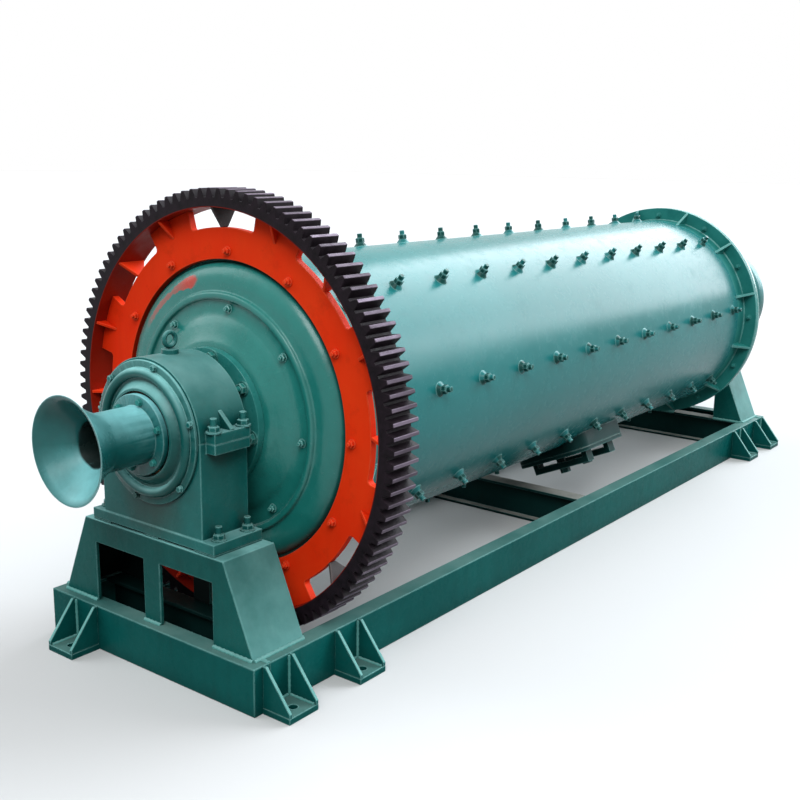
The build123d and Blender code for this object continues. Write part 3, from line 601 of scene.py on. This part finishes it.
# %% [markdown]
# Some marks belong to one place and not to a whole finish: the painted rim of a machined hub, a swipe of red
# on the head, painted shade in the feed bore, the hand-brushed ends of the drum and the oil below a trunnion.
# Each is a mask worked out from the place on the piece, and a second colour laid over the first by that mask.

# %% Helpers that lay one colour over another
def open_finish(material):
    """A finish's tree, its shader, the place on the piece, and that place as X, Y and Z."""
    tree = material.node_tree
    place = tree.nodes.new("ShaderNodeTexCoord").outputs["Object"]
    parts = tree.nodes.new("ShaderNodeSeparateXYZ")
    tree.links.new(place, parts.inputs[0])
    return tree, tree.nodes["Principled BSDF"], place, parts.outputs


def paint_over(tree, shader, mask, colour):
    """Lays a colour over what the shader has, where the mask is one."""
    first = shader.inputs["Base Color"].links[0].from_socket
    tree.links.new(blend_colours(tree, mask, first, colour), shader.inputs["Base Color"])


# %% Paint on the hubs, outside the running journal
JOURNAL_EDGE_R = 0.118
HUB_PAINT_FADE = 0.003


def painted_hub(material, paint_from):
    """Paint over everything that lies further from the axis than the running journal."""
    tree, shader, place, _ = open_finish(material)
    painted = remap(tree, radius_from_axis(tree, place), paint_from, paint_from + HUB_PAINT_FADE)
    patches = remap(tree, noise(tree, place, 7.0, 5), 0.3, 0.7)
    paint_over(tree, shader, painted, blend_colours(tree, patches, rgb(26, 118, 112), rgb(60, 150, 144)))
    tree.links.new(sums(tree, "SUBTRACT", 1.0, painted), shader.inputs["Metallic"])


painted_hub(journal_metal, JOURNAL_EDGE_R)

# %% The red swipe on the near head
SWIPE_R = 0.412
SWIPE_HALF_WIDTH = 0.010
SWIPE_THICK_EXTRA = 0.009
SWIPE_RAGGED = 0.022
SWIPE_FADE = 0.003
SWIPE_START = (math.radians(33), math.radians(42))
SWIPE_THICKENS = (math.radians(60), math.radians(68))
SWIPE_END = (math.radians(78.5), math.radians(76.5))
NEAR_HEAD_X = (-1.50, -1.52)


def red_swipe(material):
    """A swipe of the web's red paint on the shoulder of the near head, thick at its upper end."""
    tree, shader, place, parts = open_finish(material)
    angle = sums(tree, "ARCTAN2", sums(tree, "SUBTRACT", parts["Z"], AXIS_Z), parts["Y"])
    thick = remap(tree, angle, *SWIPE_THICKENS)
    ragged = noise(tree, place, 46.0, 5, 0.65)
    off_line = sums(tree, "ABSOLUTE", sums(tree, "SUBTRACT", radius_from_axis(tree, place), SWIPE_R))
    reach = sums(tree, "ADD", SWIPE_HALF_WIDTH, sums(tree, "MULTIPLY", thick, SWIPE_THICK_EXTRA))
    frayed = sums(tree, "MULTIPLY", sums(tree, "SUBTRACT", ragged, 0.5), SWIPE_RAGGED)
    reach = sums(tree, "ADD", reach, frayed)
    band = remap(tree, sums(tree, "SUBTRACT", reach, off_line), 0.0, SWIPE_FADE)
    band = sums(tree, "MULTIPLY", band, remap(tree, angle, *SWIPE_START))
    swipe_end = sums(tree, "ADD", angle, sums(tree, "MULTIPLY", off_line, 2.6))
    swipe_end = sums(tree, "ADD", swipe_end, sums(tree, "MULTIPLY", ragged, 0.08))
    band = sums(tree, "MULTIPLY", band, remap(tree, swipe_end, *SWIPE_END))
    band = sums(tree, "MULTIPLY", band, remap(tree, parts["X"], *NEAR_HEAD_X))
    body = sums(tree, "ADD", 0.5, sums(tree, "MULTIPLY", thick, 0.35))
    paint_over(tree, shader, sums(tree, "MULTIPLY", band, body), rgb(214, 52, 30))


red_swipe(head_enamel)

# %% Painted shade in the bore
BORE_R = 0.062
BORE_SHADE_DEPTH = 0.004
BORE_SHADE_RAGGED = 0.006


def bore_painted_shade(material, bore_r):
    """Painted shade: near black over everything inside the given radius, where the bore lies in shade."""
    tree, shader, place, _ = open_finish(material)
    ragged = sums(tree, "MULTIPLY", noise(tree, place, 30.0, 5), BORE_SHADE_RAGGED)
    radius = sums(tree, "ADD", radius_from_axis(tree, place), ragged)
    inside = remap(tree, radius, bore_r + 2 * BORE_SHADE_DEPTH, bore_r + BORE_SHADE_DEPTH)
    bore_shade_colour = blend_colours(tree, noise(tree, place, 60.0, 6), rgb(14, 30, 29), rgb(30, 46, 44))
    paint_over(tree, shader, inside, bore_shade_colour)


bore_painted_shade(trumpet_enamel, BORE_R)

# %% Hand-brushed ends of the drum
BRUSHED_AT_GEAR = 0.082
BRUSHED_AT_FAR = 0.076
BRUSH_FADE = 0.008
BRUSH_WANDER = 0.012


def brushed_ends(material, low_x, high_x):
    """Matt green brushed by hand over the flanges and the ends of the shell, past the sprayed length."""
    tree, shader, place, parts = open_finish(material)
    along = sums(tree, "ADD", parts["X"], sums(tree, "MULTIPLY", noise(tree, place, 12.0, 4), BRUSH_WANDER))
    past_low = remap(tree, along, low_x, low_x - BRUSH_FADE)
    past_high = remap(tree, along, high_x, high_x + BRUSH_FADE)
    past = sums(tree, "MAXIMUM", past_low, past_high)
    patches = remap(tree, noise(tree, place, 9.0, 5), 0.3, 0.7)
    brushed = blend_colours(tree, patches, rgb(24, 112, 106), rgb(50, 140, 132))
    paint_over(tree, shader, sums(tree, "MULTIPLY", past, 0.8), brushed)
    gloss = shader.inputs["Roughness"].links[0].from_socket
    tree.links.new(sums(tree, "ADD", gloss, sums(tree, "MULTIPLY", past, 0.22)), shader.inputs["Roughness"])


brushed_ends(drum_enamel, GEAR_FLANGE_X + BRUSHED_AT_GEAR, FAR_FLANGE_X - BRUSHED_AT_FAR)

# %% Oil below the trunnions
STAIN_MIDDLE_Z = 0.50
STAIN_HALF_Y = 0.14
STAIN_HALF_Z = 0.11
BEARING_FACE_X = (1.850, 1.858)


def oil_stain(material):
    """Brown oil that has run from the trunnion down the front of a bearing's lower half."""
    tree, shader, place, parts = open_finish(material)
    across = sums(tree, "DIVIDE", parts["Y"], STAIN_HALF_Y)
    down = sums(tree, "DIVIDE", sums(tree, "SUBTRACT", parts["Z"], STAIN_MIDDLE_Z), STAIN_HALF_Z)
    spread = sums(tree, "ADD", sums(tree, "MULTIPLY", across, across), sums(tree, "MULTIPLY", down, down))
    spread = sums(tree, "ADD", spread, sums(tree, "MULTIPLY", noise(tree, place, 14.0, 6, 0.6), 0.9))
    wet = sums(tree, "MULTIPLY", remap(tree, spread, 1.5, 0.5), 0.6)
    on_face = remap(tree, sums(tree, "ABSOLUTE", parts["X"]), *BEARING_FACE_X)
    paint_over(tree, shader, sums(tree, "MULTIPLY", wet, on_face), rgb(52, 58, 50))


oil_stain(bearing_enamel)
print("finishes:", sorted(m.name for m in bpy.data.materials))

# %% [markdown]
# ## Soft edges on the CAD solids
# A CAD solid arrives as loose triangles with knife edges, and no real casting or cut plate has those.
# Each node is copied, its doubles are merged, and flat triangles are joined again into plates.
# A Bevel modifier then rounds what is left, and so each plate gets the thin bright line along its edges.

# %% Helper: make a finished object from a bmesh
def finish_piece(name, bm, body, material, replaces=(), sharp=38, recalc=True):
    """Turns a bmesh into a named object that rides on a body."""
    if recalc:
        bmesh.ops.remove_doubles(bm, verts=bm.verts, dist=1e-6)
        bmesh.ops.recalc_face_normals(bm, faces=bm.faces)
    mesh = bpy.data.meshes.new(name)
    bm.to_mesh(mesh)
    bm.free()
    for polygon in mesh.polygons:
        polygon.use_smooth = True
    mesh.set_sharp_from_angle(angle=math.radians(sharp))
    mesh.materials.append(material)
    piece = bpy.data.objects.new(name, mesh)
    bpy.context.scene.collection.objects.link(piece)
    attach(piece, body)
    if replaces:
        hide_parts(*replaces)
    return piece


def round_edges(piece, width_mm, segments=2, above=48):
    """A live Bevel on every edge sharper than the given angle."""
    bevel = piece.modifiers.new("soft_edges", "BEVEL")
    bevel.width = width_mm / 1000
    bevel.segments = segments
    bevel.limit_method = "ANGLE"
    bevel.angle_limit = math.radians(above)
    bevel.use_clamp_overlap = True
    bevel.harden_normals = True


# %% [markdown]
# Turned pieces, such as the trumpet, are left out of the joining of flat triangles. On them it would join
# a few triangles here and there into uneven strips, and the gloss would show those as streaks.

# %% Helper: a soft-edged copy of a node
TURNED_NODES = (
    "feed_trumpet", "discharge_spout", "gear_end_head", "far_end_head", "gear_end_cover", "far_end_cover",
)
DOUBLES_DISTANCE = 2e-5
FLAT_DEGREES = 0.6


def soften_node(node, body, material, width_mm):
    """A merged, soft-edged copy that stands for a CAD node."""
    bm = bmesh.new()
    bm.from_mesh(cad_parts[node].data)
    bmesh.ops.remove_doubles(bm, verts=bm.verts, dist=DOUBLES_DISTANCE)
    if node not in TURNED_NODES:
        flat = math.radians(FLAT_DEGREES)
        bmesh.ops.dissolve_limit(bm, angle_limit=flat, verts=bm.verts, edges=bm.edges)
    piece = finish_piece(node + "_dressed", bm, body, material, [node], recalc=False)
    if width_mm:
        round_edges(piece, width_mm)


# %% Soften every node, with its own finish
FINISHES = {
    "frame_enamel": (frame_enamel, "frame_paint"),
    "stand_enamel": (stand_enamel, "frame_paint"),
    "drum_enamel": (drum_enamel, "drum_paint"),
    "shade_enamel": (shade_enamel, "frame_paint"),
    "under_enamel": (under_enamel, "frame_paint"),
    "manhole_enamel": (shade_enamel, "drum_paint"),
    "trumpet_enamel": (trumpet_enamel, "drum_paint"),
    "bearing_enamel": (bearing_enamel, "frame_paint"),
    "cover_enamel": (cover_enamel, "frame_paint"),
    "head_enamel": (head_enamel, "head_paint"),
    "web_enamel": (web_enamel, "gear_web_paint"),
    "greased_teeth": (greased_teeth, "gear_rim_metal"),
    "journal_metal": (journal_metal, "journal_steel"),
    "bearing_bronze": (bronze, "bush_bronze"),
}
DRESSED = [
    ("stand_enamel", "base", 3.0, "gear_end_stand far_end_stand"),
    ("frame_enamel", "base", 3.0, "right_rail left_rail gear_end_beam far_end_beam stand_packing"),
    ("under_enamel", "base", 3.0, "gear_end_cross_beam"),
    ("shade_enamel", "base", 3.0, "mid_cross_beam far_end_cross_beam"),
    ("frame_enamel", "base", 2.0, "foot_plates foot_gussets"),
    ("bearing_enamel", "base", 3.0, "gear_end_housing_base gear_end_housing_cap"),
    ("bearing_enamel", "base", 3.0, "far_end_housing_base far_end_housing_cap"),
    ("cover_enamel", "base", 3.0, "gear_end_cover far_end_cover"),
    ("bearing_enamel", "base", 0.0, "gear_end_lifting_eye far_end_lifting_eye"),
    ("bearing_bronze", "base", 1.0, "gear_end_bush far_end_bush"),
    ("drum_enamel", "drum", 2.0, "drum_shell gear_end_flange far_end_flange gear_end_ribs far_end_ribs"),
    ("trumpet_enamel", "drum", 2.0, "feed_trumpet discharge_spout"),
    ("manhole_enamel", "drum", 2.0, "manhole_neck manhole_cover manhole_clamps manhole_bolts"),
    ("head_enamel", "drum", 4.0, "gear_end_head far_end_head"),
    ("web_enamel", "drum", 2.0, "gear_web gear_gussets"),
    ("greased_teeth", "drum", 1.2, "gear_rim"),
    ("journal_metal", "drum", 2.0, "gear_end_trunnion far_end_trunnion"),
]
for finish, body, width, nodes in DRESSED:
    material, slot = FINISHES[finish]
    for node in nodes.split():
        soften_node(node, body, material, width)

# %% [markdown]
# Some of the gussets in the web's windows were never sprayed and are still in grey primer.
# The insides of the stands get painted shade, a near black finish.
# Both are told from the rest of their piece by where each face lies and looks.

# %% Window gussets left in grey primer
WINDOW_FIRST = 88.5
WINDOW_COUNT = 8
BARE_WINDOWS = (0, 3, 4, 5)
NEAR_WINDOW_SHARE = 0.25
gussets = bpy.data.objects["gear_gussets_dressed"]
gussets.data.materials.append(primer_grey)
bare = 0
for polygon in gussets.data.polygons:
    turn = math.degrees(math.atan2(polygon.center.z - AXIS_Z, polygon.center.y))
    steps = ((turn - WINDOW_FIRST) % 360) / (360 / WINDOW_COUNT)
    window = round(steps)
    if abs(steps - window) < NEAR_WINDOW_SHARE and window % WINDOW_COUNT in BARE_WINDOWS:
        polygon.material_index = 1
        bare += 1
print("bare gusset faces:", bare)

# %% Painted shade inside the stands
FACES_ALONG = 0.5
for name in ("gear_end_stand", "far_end_stand"):
    stand = bpy.data.objects[name + "_dressed"]
    stand.data.materials.append(primer_dark)
    low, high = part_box(name)
    middle = (low + high) / 2
    quarter_depth = (high.x - low.x) / 4
    inner = 0
    for polygon in stand.data.polygons:
        away, normal = polygon.center - middle, polygon.normal
        front_or_back = abs(normal.x) > FACES_ALONG and normal.x * away.x < 0
        side = abs(normal.y) > FACES_ALONG and normal.y * away.y < 0 and abs(away.x) < quarter_depth
        under_top = normal.z < -FACES_ALONG and away.z > 0 and abs(away.x) < quarter_depth
        if front_or_back or side or under_top:
            polygon.material_index = 1
            inner += 1
    print(name, "inner faces:", inner)

# %% [markdown]
# The sloping edges of the flange ribs and of the foot gussets stand proud. They get the welds' pale paint,
# which is partly wear and partly a painted highlight.
# They are the only faces of those plates that look partly along the plate and partly outwards.

# %% Pale sloping edges, worn and with a painted highlight
LEANS = 0.2


def pale_slopes_worn_and_highlit(names, along_of, out_of):
    """Gives the welds' pale paint, wear and a painted highlight, to the faces that lean between two
    directions.
    """
    for name in names:
        piece = bpy.data.objects[name + "_dressed"]
        piece.data.materials.append(weld_enamel)
        rubbed = 0
        for polygon in piece.data.polygons:
            if along_of(polygon) > LEANS and out_of(polygon) > LEANS:
                polygon.material_index = 1
                rubbed += 1
        print(name, "rubbed faces:", rubbed)


def radial_part(polygon):
    """How far a face looks away from the drum's axis."""
    away = Vector((0, polygon.center.y, polygon.center.z - AXIS_Z)).normalized()
    return away.dot(polygon.normal)


def level_part(polygon):
    """How far a face looks to any side."""
    return math.hypot(polygon.normal.x, polygon.normal.y)


pale_slopes_worn_and_highlit(("gear_end_ribs", "far_end_ribs"), lambda polygon: abs(polygon.normal.x), radial_part)
pale_slopes_worn_and_highlit(("foot_gussets",), lambda polygon: polygon.normal.z, level_part)

# %% [markdown]
# ## Bolts
# The liner inside the drum is held by rows of studs.
# Each has a cupped washer on the shell, a nut and a stud end.
# The ring gear, the heads, the bearing covers and the base plates have plain hexagon bolts.
# One bolt of each kind is made once from short cones, the nut with six sides, and stamped in its places.

# %% One bolt of a kind, as a small template mesh
WASHER_SIDES, NUT_SIDES, STUD_SIDES = 14, 6, 10
CHAMFER_SHARE = 0.12
LINER_WASHER, LINER_NUT, LINER_STUD = (25, 13, 14), (15.5, 15.5, 16), (9, 9, 15)


def bolt_template(name, washer, nut, stud):
    """Washer, nut and stud as (low radius, high radius, height) in millimetres, stacked along Z."""
    bm = bmesh.new()
    level_mm = 0.0
    for (low, high, height), sides in ((washer, WASHER_SIDES), (nut, NUT_SIDES), (stud, STUD_SIDES)):
        if not height:
            continue
        middle = Matrix.Translation((0, 0, (level_mm + height / 2) / 1000))
        made = bmesh.ops.create_cone(
            bm, cap_ends=True, segments=sides, radius1=low / 1000, radius2=high / 1000,
            depth=height / 1000, matrix=middle)
        level_mm += height
        if sides != WASHER_SIDES:
            top = max(v.co.z for v in made["verts"]) - 1e-6
            ring = [e for e in bm.edges if all(v in made["verts"] and v.co.z > top for v in e.verts)]
            chamfer = high * CHAMFER_SHARE / 1000
            bmesh.ops.bevel(
                bm, geom=ring, offset=chamfer, segments=1, profile=0.5, affect="EDGES", material=-1)
    mesh = bpy.data.meshes.new(name)
    bm.to_mesh(mesh)
    bm.free()
    print(name, "has", len(mesh.polygons), "faces and stands", round(level_mm, 1), "mm high")
    return mesh


liner_stud = bolt_template("liner_stud", LINER_WASHER, LINER_NUT, LINER_STUD)
web_bolt = bolt_template("web_bolt", (14, 14, 3), (11, 11, 9), (6, 6, 8))
small_bolt = bolt_template("small_bolt", (11, 11, 2.5), (9.5, 9.5, 8), (0, 0, 0))
base_bolt = bolt_template("base_bolt", (22, 22, 4), (17, 17, 15), (10, 10, 22))

# %% [markdown]
# The liner studs are a darker green than the drum, but the drum's paint has caught on one side of their
# washers and stud ends and on top of the nuts. A face is told by its place on the bolt and not by its number,
# because the operator that cuts the chamfers may number the faces in another order the next time.

# %% Helpers that stamp bolts in their places
NUT_FROM = LINER_WASHER[2] / 1000
NUT_TO = NUT_FROM + LINER_NUT[2] / 1000
PAINTED_TURN = math.radians(154)


def caught_paint(polygon):
    """True on one side of a liner stud's washer and of its end, and on its nut's flat top."""
    x, y, z = polygon.center
    if math.hypot(x, y) < 1e-4:
        return abs(z - NUT_TO) < 1e-4 and polygon.normal.z > 0
    on_nut = NUT_FROM < z < NUT_TO
    return not on_nut and 0 < math.atan2(x, y) < PAINTED_TURN


def stand_on(point, direction, spin=0.0):
    """A place whose Z points along the direction."""
    turn = Vector(direction).to_track_quat("Z", "Y").to_matrix().to_4x4()
    return Matrix.Translation(point) @ turn @ Matrix.Rotation(spin, 4, "Z")


def stamp(name, template, places, body, material, dark_material=None):
    """Copies of one template at many places, as one piece."""
    bm = bmesh.new()
    for place in places:
        before = len(bm.verts)
        bm.from_mesh(template)
        bm.verts.ensure_lookup_table()
        bmesh.ops.transform(bm, matrix=place, verts=bm.verts[before:])
    faces = len(bm.faces)
    if dark_material:
        light = [caught_paint(polygon) for polygon in template.polygons]
        for number, face in enumerate(bm.faces):
            face.material_index = 0 if light[number % len(light)] else 1
        print("of", len(light), "faces,", sum(light), "have caught the drum's paint")
    piece = finish_piece(name, bm, body, material, recalc=False)
    if dark_material:
        piece.data.materials.append(dark_material)
    print(name, len(places), "bolts,", faces, "faces")


# %% The drum's liner studs
FIRST_ROW = 82
ROW_COUNT = 8
STUDS_IN_ROW = 12
LINER_PITCH = 0.240
LINER_FIRST = -1.344
liner_places = []
for row in range(ROW_COUNT):
    turn = FIRST_ROW + 360 / ROW_COUNT * row
    for k in range(STUDS_IN_ROW):
        foot = around(LINER_FIRST + LINER_PITCH * k, SHELL_R - SUNK, turn)
        out = around(0, 1, turn) - around(0, 0, turn)
        liner_places.append(stand_on(foot, out, random.uniform(0, 6)))
stamp("drum_liner_studs", liner_stud, liner_places, "drum", drum_enamel, fitting_enamel)

# %% [markdown]
# Bolts in a ring stand on the face of a piece. That face is given as a step out from the nearer end of the
# piece (0) or from its further end (1), and so the same four rings serve both ends of the mill.

# %% Bolts on the web, the flanges and the heads
ENDS = ((-1, "gear_end"), (1, "far_end"))
END_RINGS = (
    ("head", web_bolt, "_head", 0, 0.0685, 0.325, 6, 8, "drum", head_enamel, "head_paint"),
    ("hub", base_bolt, "_head", 1, 0.024, 0.190, 9, 8, "drum", head_enamel, "head_paint"),
    ("cover", small_bolt, "_cover", 0, 0.009, 0.1965, 44, 6, "base", bearing_enamel, "bolt_steel"),
    ("neck", small_bolt, "_trunnion", 1, 0.018, 0.099, 43, 6, "drum", drum_enamel, "drum_paint"),
)


def reach(node):
    """How near to the middle of the mill a node starts along X, and how far out it ends."""
    low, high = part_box(node)
    return sorted((abs(low.x), abs(high.x)))


def ring_places(x, radius, first, count, direction):
    """Bolts round the drum's axis, pointing along X."""
    return [
        stand_on(around(x, radius, first + 360 / count * k), (direction, 0, 0), random.uniform(0, 6))
        for k in range(count)
    ]


web_places = ring_places(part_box("gear_web")[0].x, 0.490, 1.3, 12, -1)
stamp("web_bolts", web_bolt, web_places, "drum", web_enamel)
flange_places = ring_places(FAR_FLANGE_X, 0.488, -2, 12, -1)
stamp("far_flange_bolts", web_bolt, flange_places, "drum", drum_enamel)
for end, name in ENDS:
    for kind, bolt, held, side, step, radius, first, count, body, material, slot in END_RINGS:
        face = end * (reach(name + held)[side] + step)
        places = ring_places(face, radius, first, count, end)
        stamp(f"{name}_{kind}_bolts", bolt, places, body, material)

# %% [markdown]
# Each bearing has four bolts through its base plate and four through the ears of its cap.
# The two sets stand nearly above each other.

# %% Base plate and split line bolts
BEARING_BOLT_X = (1.725, 1.835)
BEARING_BOLT_Y = (-0.240, 0.240)
PLATE_THICK = 0.030
EAR_SHIFT_X = 0.002
EAR_SHARE_Y = 0.965
PLATE_TOP_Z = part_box("gear_end_housing_base")[0].z + PLATE_THICK
EAR_TOP_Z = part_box("gear_end_housing_cap")[0].z + PLATE_THICK
base_places = []
ear_places = []
for end, _ in ENDS:
    for x in BEARING_BOLT_X:
        for y in BEARING_BOLT_Y:
            base_at = (end * x, y, PLATE_TOP_Z)
            ear_at = (end * (x + EAR_SHIFT_X), y * EAR_SHARE_Y, EAR_TOP_Z)
            base_places.append(stand_on(base_at, (0, 0, 1), random.uniform(0, 6)))
            ear_places.append(stand_on(ear_at, (0, 0, 1), random.uniform(0, 6)))
stamp("base_plate_bolts", base_bolt, base_places, "base", frame_enamel)
stamp("split_line_bolts", base_bolt, ear_places, "base", bearing_enamel)

# %% [markdown]
# ## Ribs on the bearing ears
# A cap is pulled down on its split line by two bolts at each side.
# A rib between the two keeps the ear from bending.
# Each rib is a flat triangle with a short nose, extruded to its thickness.
# Its long edge runs from the cap down to the ear's tip.

# %% Triangular ribs between the ear bolts
RIB_HALF = 0.007
RIB_ROOT_Y, RIB_TIP_Y = 0.198, 0.2475
RIB_RISE, RIB_NOSE = 0.050, 0.004


def ear_rib(bm, x, side):
    """One triangular rib on a cap's ear."""
    corners = [
        (RIB_ROOT_Y, EAR_TOP_Z + RIB_RISE), (RIB_TIP_Y, EAR_TOP_Z + RIB_NOSE),
        (RIB_TIP_Y, EAR_TOP_Z - SUNK), (RIB_ROOT_Y, EAR_TOP_Z - SUNK),
    ]
    face = bm.faces.new([bm.verts.new((x - RIB_HALF, side * y, z)) for y, z in corners])
    grown = bmesh.ops.extrude_face_region(bm, geom=[face], use_keep_orig=True)
    moved = [item for item in grown["geom"] if isinstance(item, bmesh.types.BMVert)]
    bmesh.ops.translate(bm, verts=moved, vec=(2 * RIB_HALF, 0, 0))


for end, name in ENDS:
    cap_middle = sum(reach(name + "_housing_cap")) / 2
    bm = bmesh.new()
    for side in (-1, 1):
        ear_rib(bm, end * cap_middle, side)
    rib = finish_piece(name + "_ear_ribs", bm, "base", bearing_enamel)
    round_edges(rib, 2.0)
    print(rib.name, len(rib.data.polygons), "faces")

# %% [markdown]
# ## Welds
# The frame is welded by hand, and each seam is a bead of overlapping ripples that catches the light.
# A bead here is a thin rod, cut into short rings that swell and narrow in turn, and sunk half into the seam.

# %% Helpers for straight beads
BEAD_SIDES = 8
BEAD_PITCH = 0.009
WIDE, NARROW = 1.16, 0.90


def ripple(count, uneven):
    """Sizes of the rings of a bead, wide and narrow in turn and each a little off."""
    return [(WIDE if k % 2 else NARROW) + random.uniform(-uneven, uneven) for k in range(count)]


def weld_bead(bm, start, end, radius):
    """A rippled bead along a seam."""
    start, end = Vector(start), Vector(end)
    run = end - start
    before = len(bm.verts)
    bmesh.ops.create_cone(
        bm, cap_ends=True, segments=BEAD_SIDES, radius1=radius, radius2=radius, depth=run.length)
    bm.verts.ensure_lookup_table()
    corners = bm.verts[before:]
    edges = dict.fromkeys(edge for vert in corners for edge in vert.link_edges)
    long_edges = [edge for edge in edges if abs(edge.calc_length() - run.length) < 1e-6]
    cuts = max(3, round(run.length / BEAD_PITCH))
    bmesh.ops.subdivide_edges(bm, edges=long_edges, cuts=cuts)
    bm.verts.ensure_lookup_table()
    rod = bm.verts[before:]
    swell = ripple(cuts + 2, 0.06)
    for vert in rod:
        ring = round((vert.co.z / run.length + 0.5) * (cuts + 1))
        vert.co.x *= swell[ring]
        vert.co.y *= swell[ring]
    bmesh.ops.transform(bm, matrix=stand_on(start + run / 2, run.normalized()), verts=rod)


def weld_piece(name, seams, body, material, radius):
    """Many beads as one piece."""
    bm = bmesh.new()
    for start, end in seams:
        weld_bead(bm, start, end, radius)
    faces = len(bm.faces)
    finish_piece(name, bm, body, material, recalc=False, sharp=60)
    print(name, len(seams), "beads,", faces, "faces")


# %% Beads under the stands and over the frame's corner joints
BEAM_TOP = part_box("far_end_stand")[0].z
STAND_NEAR_X, STAND_FAR_X = reach("far_end_stand")
STAND_HALF_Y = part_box("far_end_stand")[1].y
STAND_PADS = ((-0.410, -0.256), (-0.034, 0.034), (0.256, 0.410))
CORNER_GAP = 0.002
JOINT_X = 1.852
JOINT_Y = (0.388, 0.443)
JOINT_Z = BEAM_TOP - 0.002
stand_seams = []
for end, _ in ENDS:
    for x in (STAND_FAR_X, STAND_NEAR_X):
        for low, high in STAND_PADS:
            stand_seams.append(((end * x, low, BEAM_TOP), (end * x, high, BEAM_TOP)))
    for side in (-1, 1):
        near = (end * (STAND_NEAR_X + CORNER_GAP), side * STAND_HALF_Y, BEAM_TOP)
        far = (end * (STAND_FAR_X - CORNER_GAP), side * STAND_HALF_Y, BEAM_TOP)
        stand_seams.append((near, far))
        stand_seams.append(tuple((end * JOINT_X, side * y, JOINT_Z) for y in JOINT_Y))
weld_piece("stand_welds", stand_seams, "base", weld_enamel, 0.007)

# %% [markdown]
# A foot bracket has one bead where its plate meets the frame. Each of its two gussets has a bead up the frame
# and another out along the plate.

# %% Beads at the foot brackets
FOOT_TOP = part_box("foot_plates")[1].z
FOOT_HALF = 0.042
GUSSET_SIDE = 0.0465
GUSSET_UP = (0.020, 0.136)
GUSSET_OUT = (0.006, 0.094)
OUTER_FOOT_X, INNER_FOOT_X = 1.822, 1.528
FRAME_HALF_Y = 0.445
END_BEAM_X, END_FOOT_Y = -1.910, 0.277
foot_seams = []


def foot_seam_set(origin, out, along):
    """Beads of one foot bracket: its plate to the beam and its two gussets to both."""
    origin, out, along = Vector(origin), Vector(out), Vector(along)
    up = Vector((0, 0, 1))
    top = up * FOOT_TOP
    for side in (-1, 1):
        inner = origin + along * side * GUSSET_SIDE
        foot_seams.append(tuple(inner + up * rise + out * SUNK for rise in GUSSET_UP))
        foot_seams.append(tuple(inner + top + out * far for far in GUSSET_OUT))
    foot_seams.append((origin - along * FOOT_HALF + top, origin + along * FOOT_HALF + top))


for x in (-OUTER_FOOT_X, OUTER_FOOT_X, -INNER_FOOT_X, INNER_FOOT_X):
    foot_seam_set((x, -FRAME_HALF_Y, 0), (0, -1, 0), (1, 0, 0))
for x in (-INNER_FOOT_X, INNER_FOOT_X, OUTER_FOOT_X):
    foot_seam_set((x, FRAME_HALF_Y, 0), (0, 1, 0), (1, 0, 0))
foot_seam_set((END_BEAM_X, END_FOOT_Y, 0), (-1, 0, 0), (0, 1, 0))
weld_piece("foot_welds", foot_seams, "base", weld_enamel, 0.005)

# %% [markdown]
# The beads on the drum run along both sides of each flange rib, and all round where a flange meets the shell.

# %% Beads along the flange ribs
RIB_COUNT = 12
FIRST_RIB = 15
RIB_FACE = 0.006
BEAD_SHORT = 0.004
RIB_SPANS = (
    (GEAR_FLANGE_X + SUNK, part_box("gear_end_ribs")[1].x - BEAD_SHORT),
    (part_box("far_end_ribs")[0].x + BEAD_SHORT, FAR_FLANGE_X - SUNK),
)
rib_seams = []
for rib in range(RIB_COUNT):
    turn = FIRST_RIB + 360 / RIB_COUNT * rib
    sideways = (around(0, 1, turn + 90) - around(0, 0, turn + 90)) * RIB_FACE
    for low, high in RIB_SPANS:
        for side in (-1, 1):
            offset = sideways * side
            rib_seams.append((around(low, SHELL_R, turn) + offset, around(high, SHELL_R, turn) + offset))
weld_piece("rib_welds", rib_seams, "drum", drum_enamel, 0.0045)

# %% Ring beads where the flanges meet the shell
BEAD_STEPS = 240
RING_BEAD_R = 0.0055


def ring_bead(bm, x):
    """A rippled bead all round the shell."""
    made = bmesh.ops.create_circle(
        bm, cap_ends=False, segments=BEAD_SIDES, radius=RING_BEAD_R,
        matrix=Matrix.Translation(around(x, SHELL_R, 0)))
    edges = list(dict.fromkeys(edge for vert in made["verts"] for edge in vert.link_edges))
    before = set(bm.verts) - set(made["verts"])
    bmesh.ops.spin(
        bm, geom=made["verts"] + edges, cent=(x, 0, AXIS_Z), axis=(1, 0, 0), angle=2 * math.pi,
        steps=BEAD_STEPS, use_merge=True)
    swell = ripple(BEAD_STEPS, 0.08)
    for vert in bm.verts:
        if vert in before:
            continue
        turn = math.degrees(math.atan2(vert.co.z - AXIS_Z, vert.co.y)) % 360
        core = around(x, SHELL_R, turn)
        vert.co = core + (vert.co - core) * swell[round(turn / 360 * BEAD_STEPS) % BEAD_STEPS]


bm = bmesh.new()
for flange_face in (GEAR_FLANGE_X + SUNK, FAR_FLANGE_X - SUNK):
    ring_bead(bm, flange_face)
ring_welds = finish_piece("ring_welds", bm, "drum", weld_enamel, sharp=60)
print("ring beads:", len(ring_welds.data.polygons), "faces")
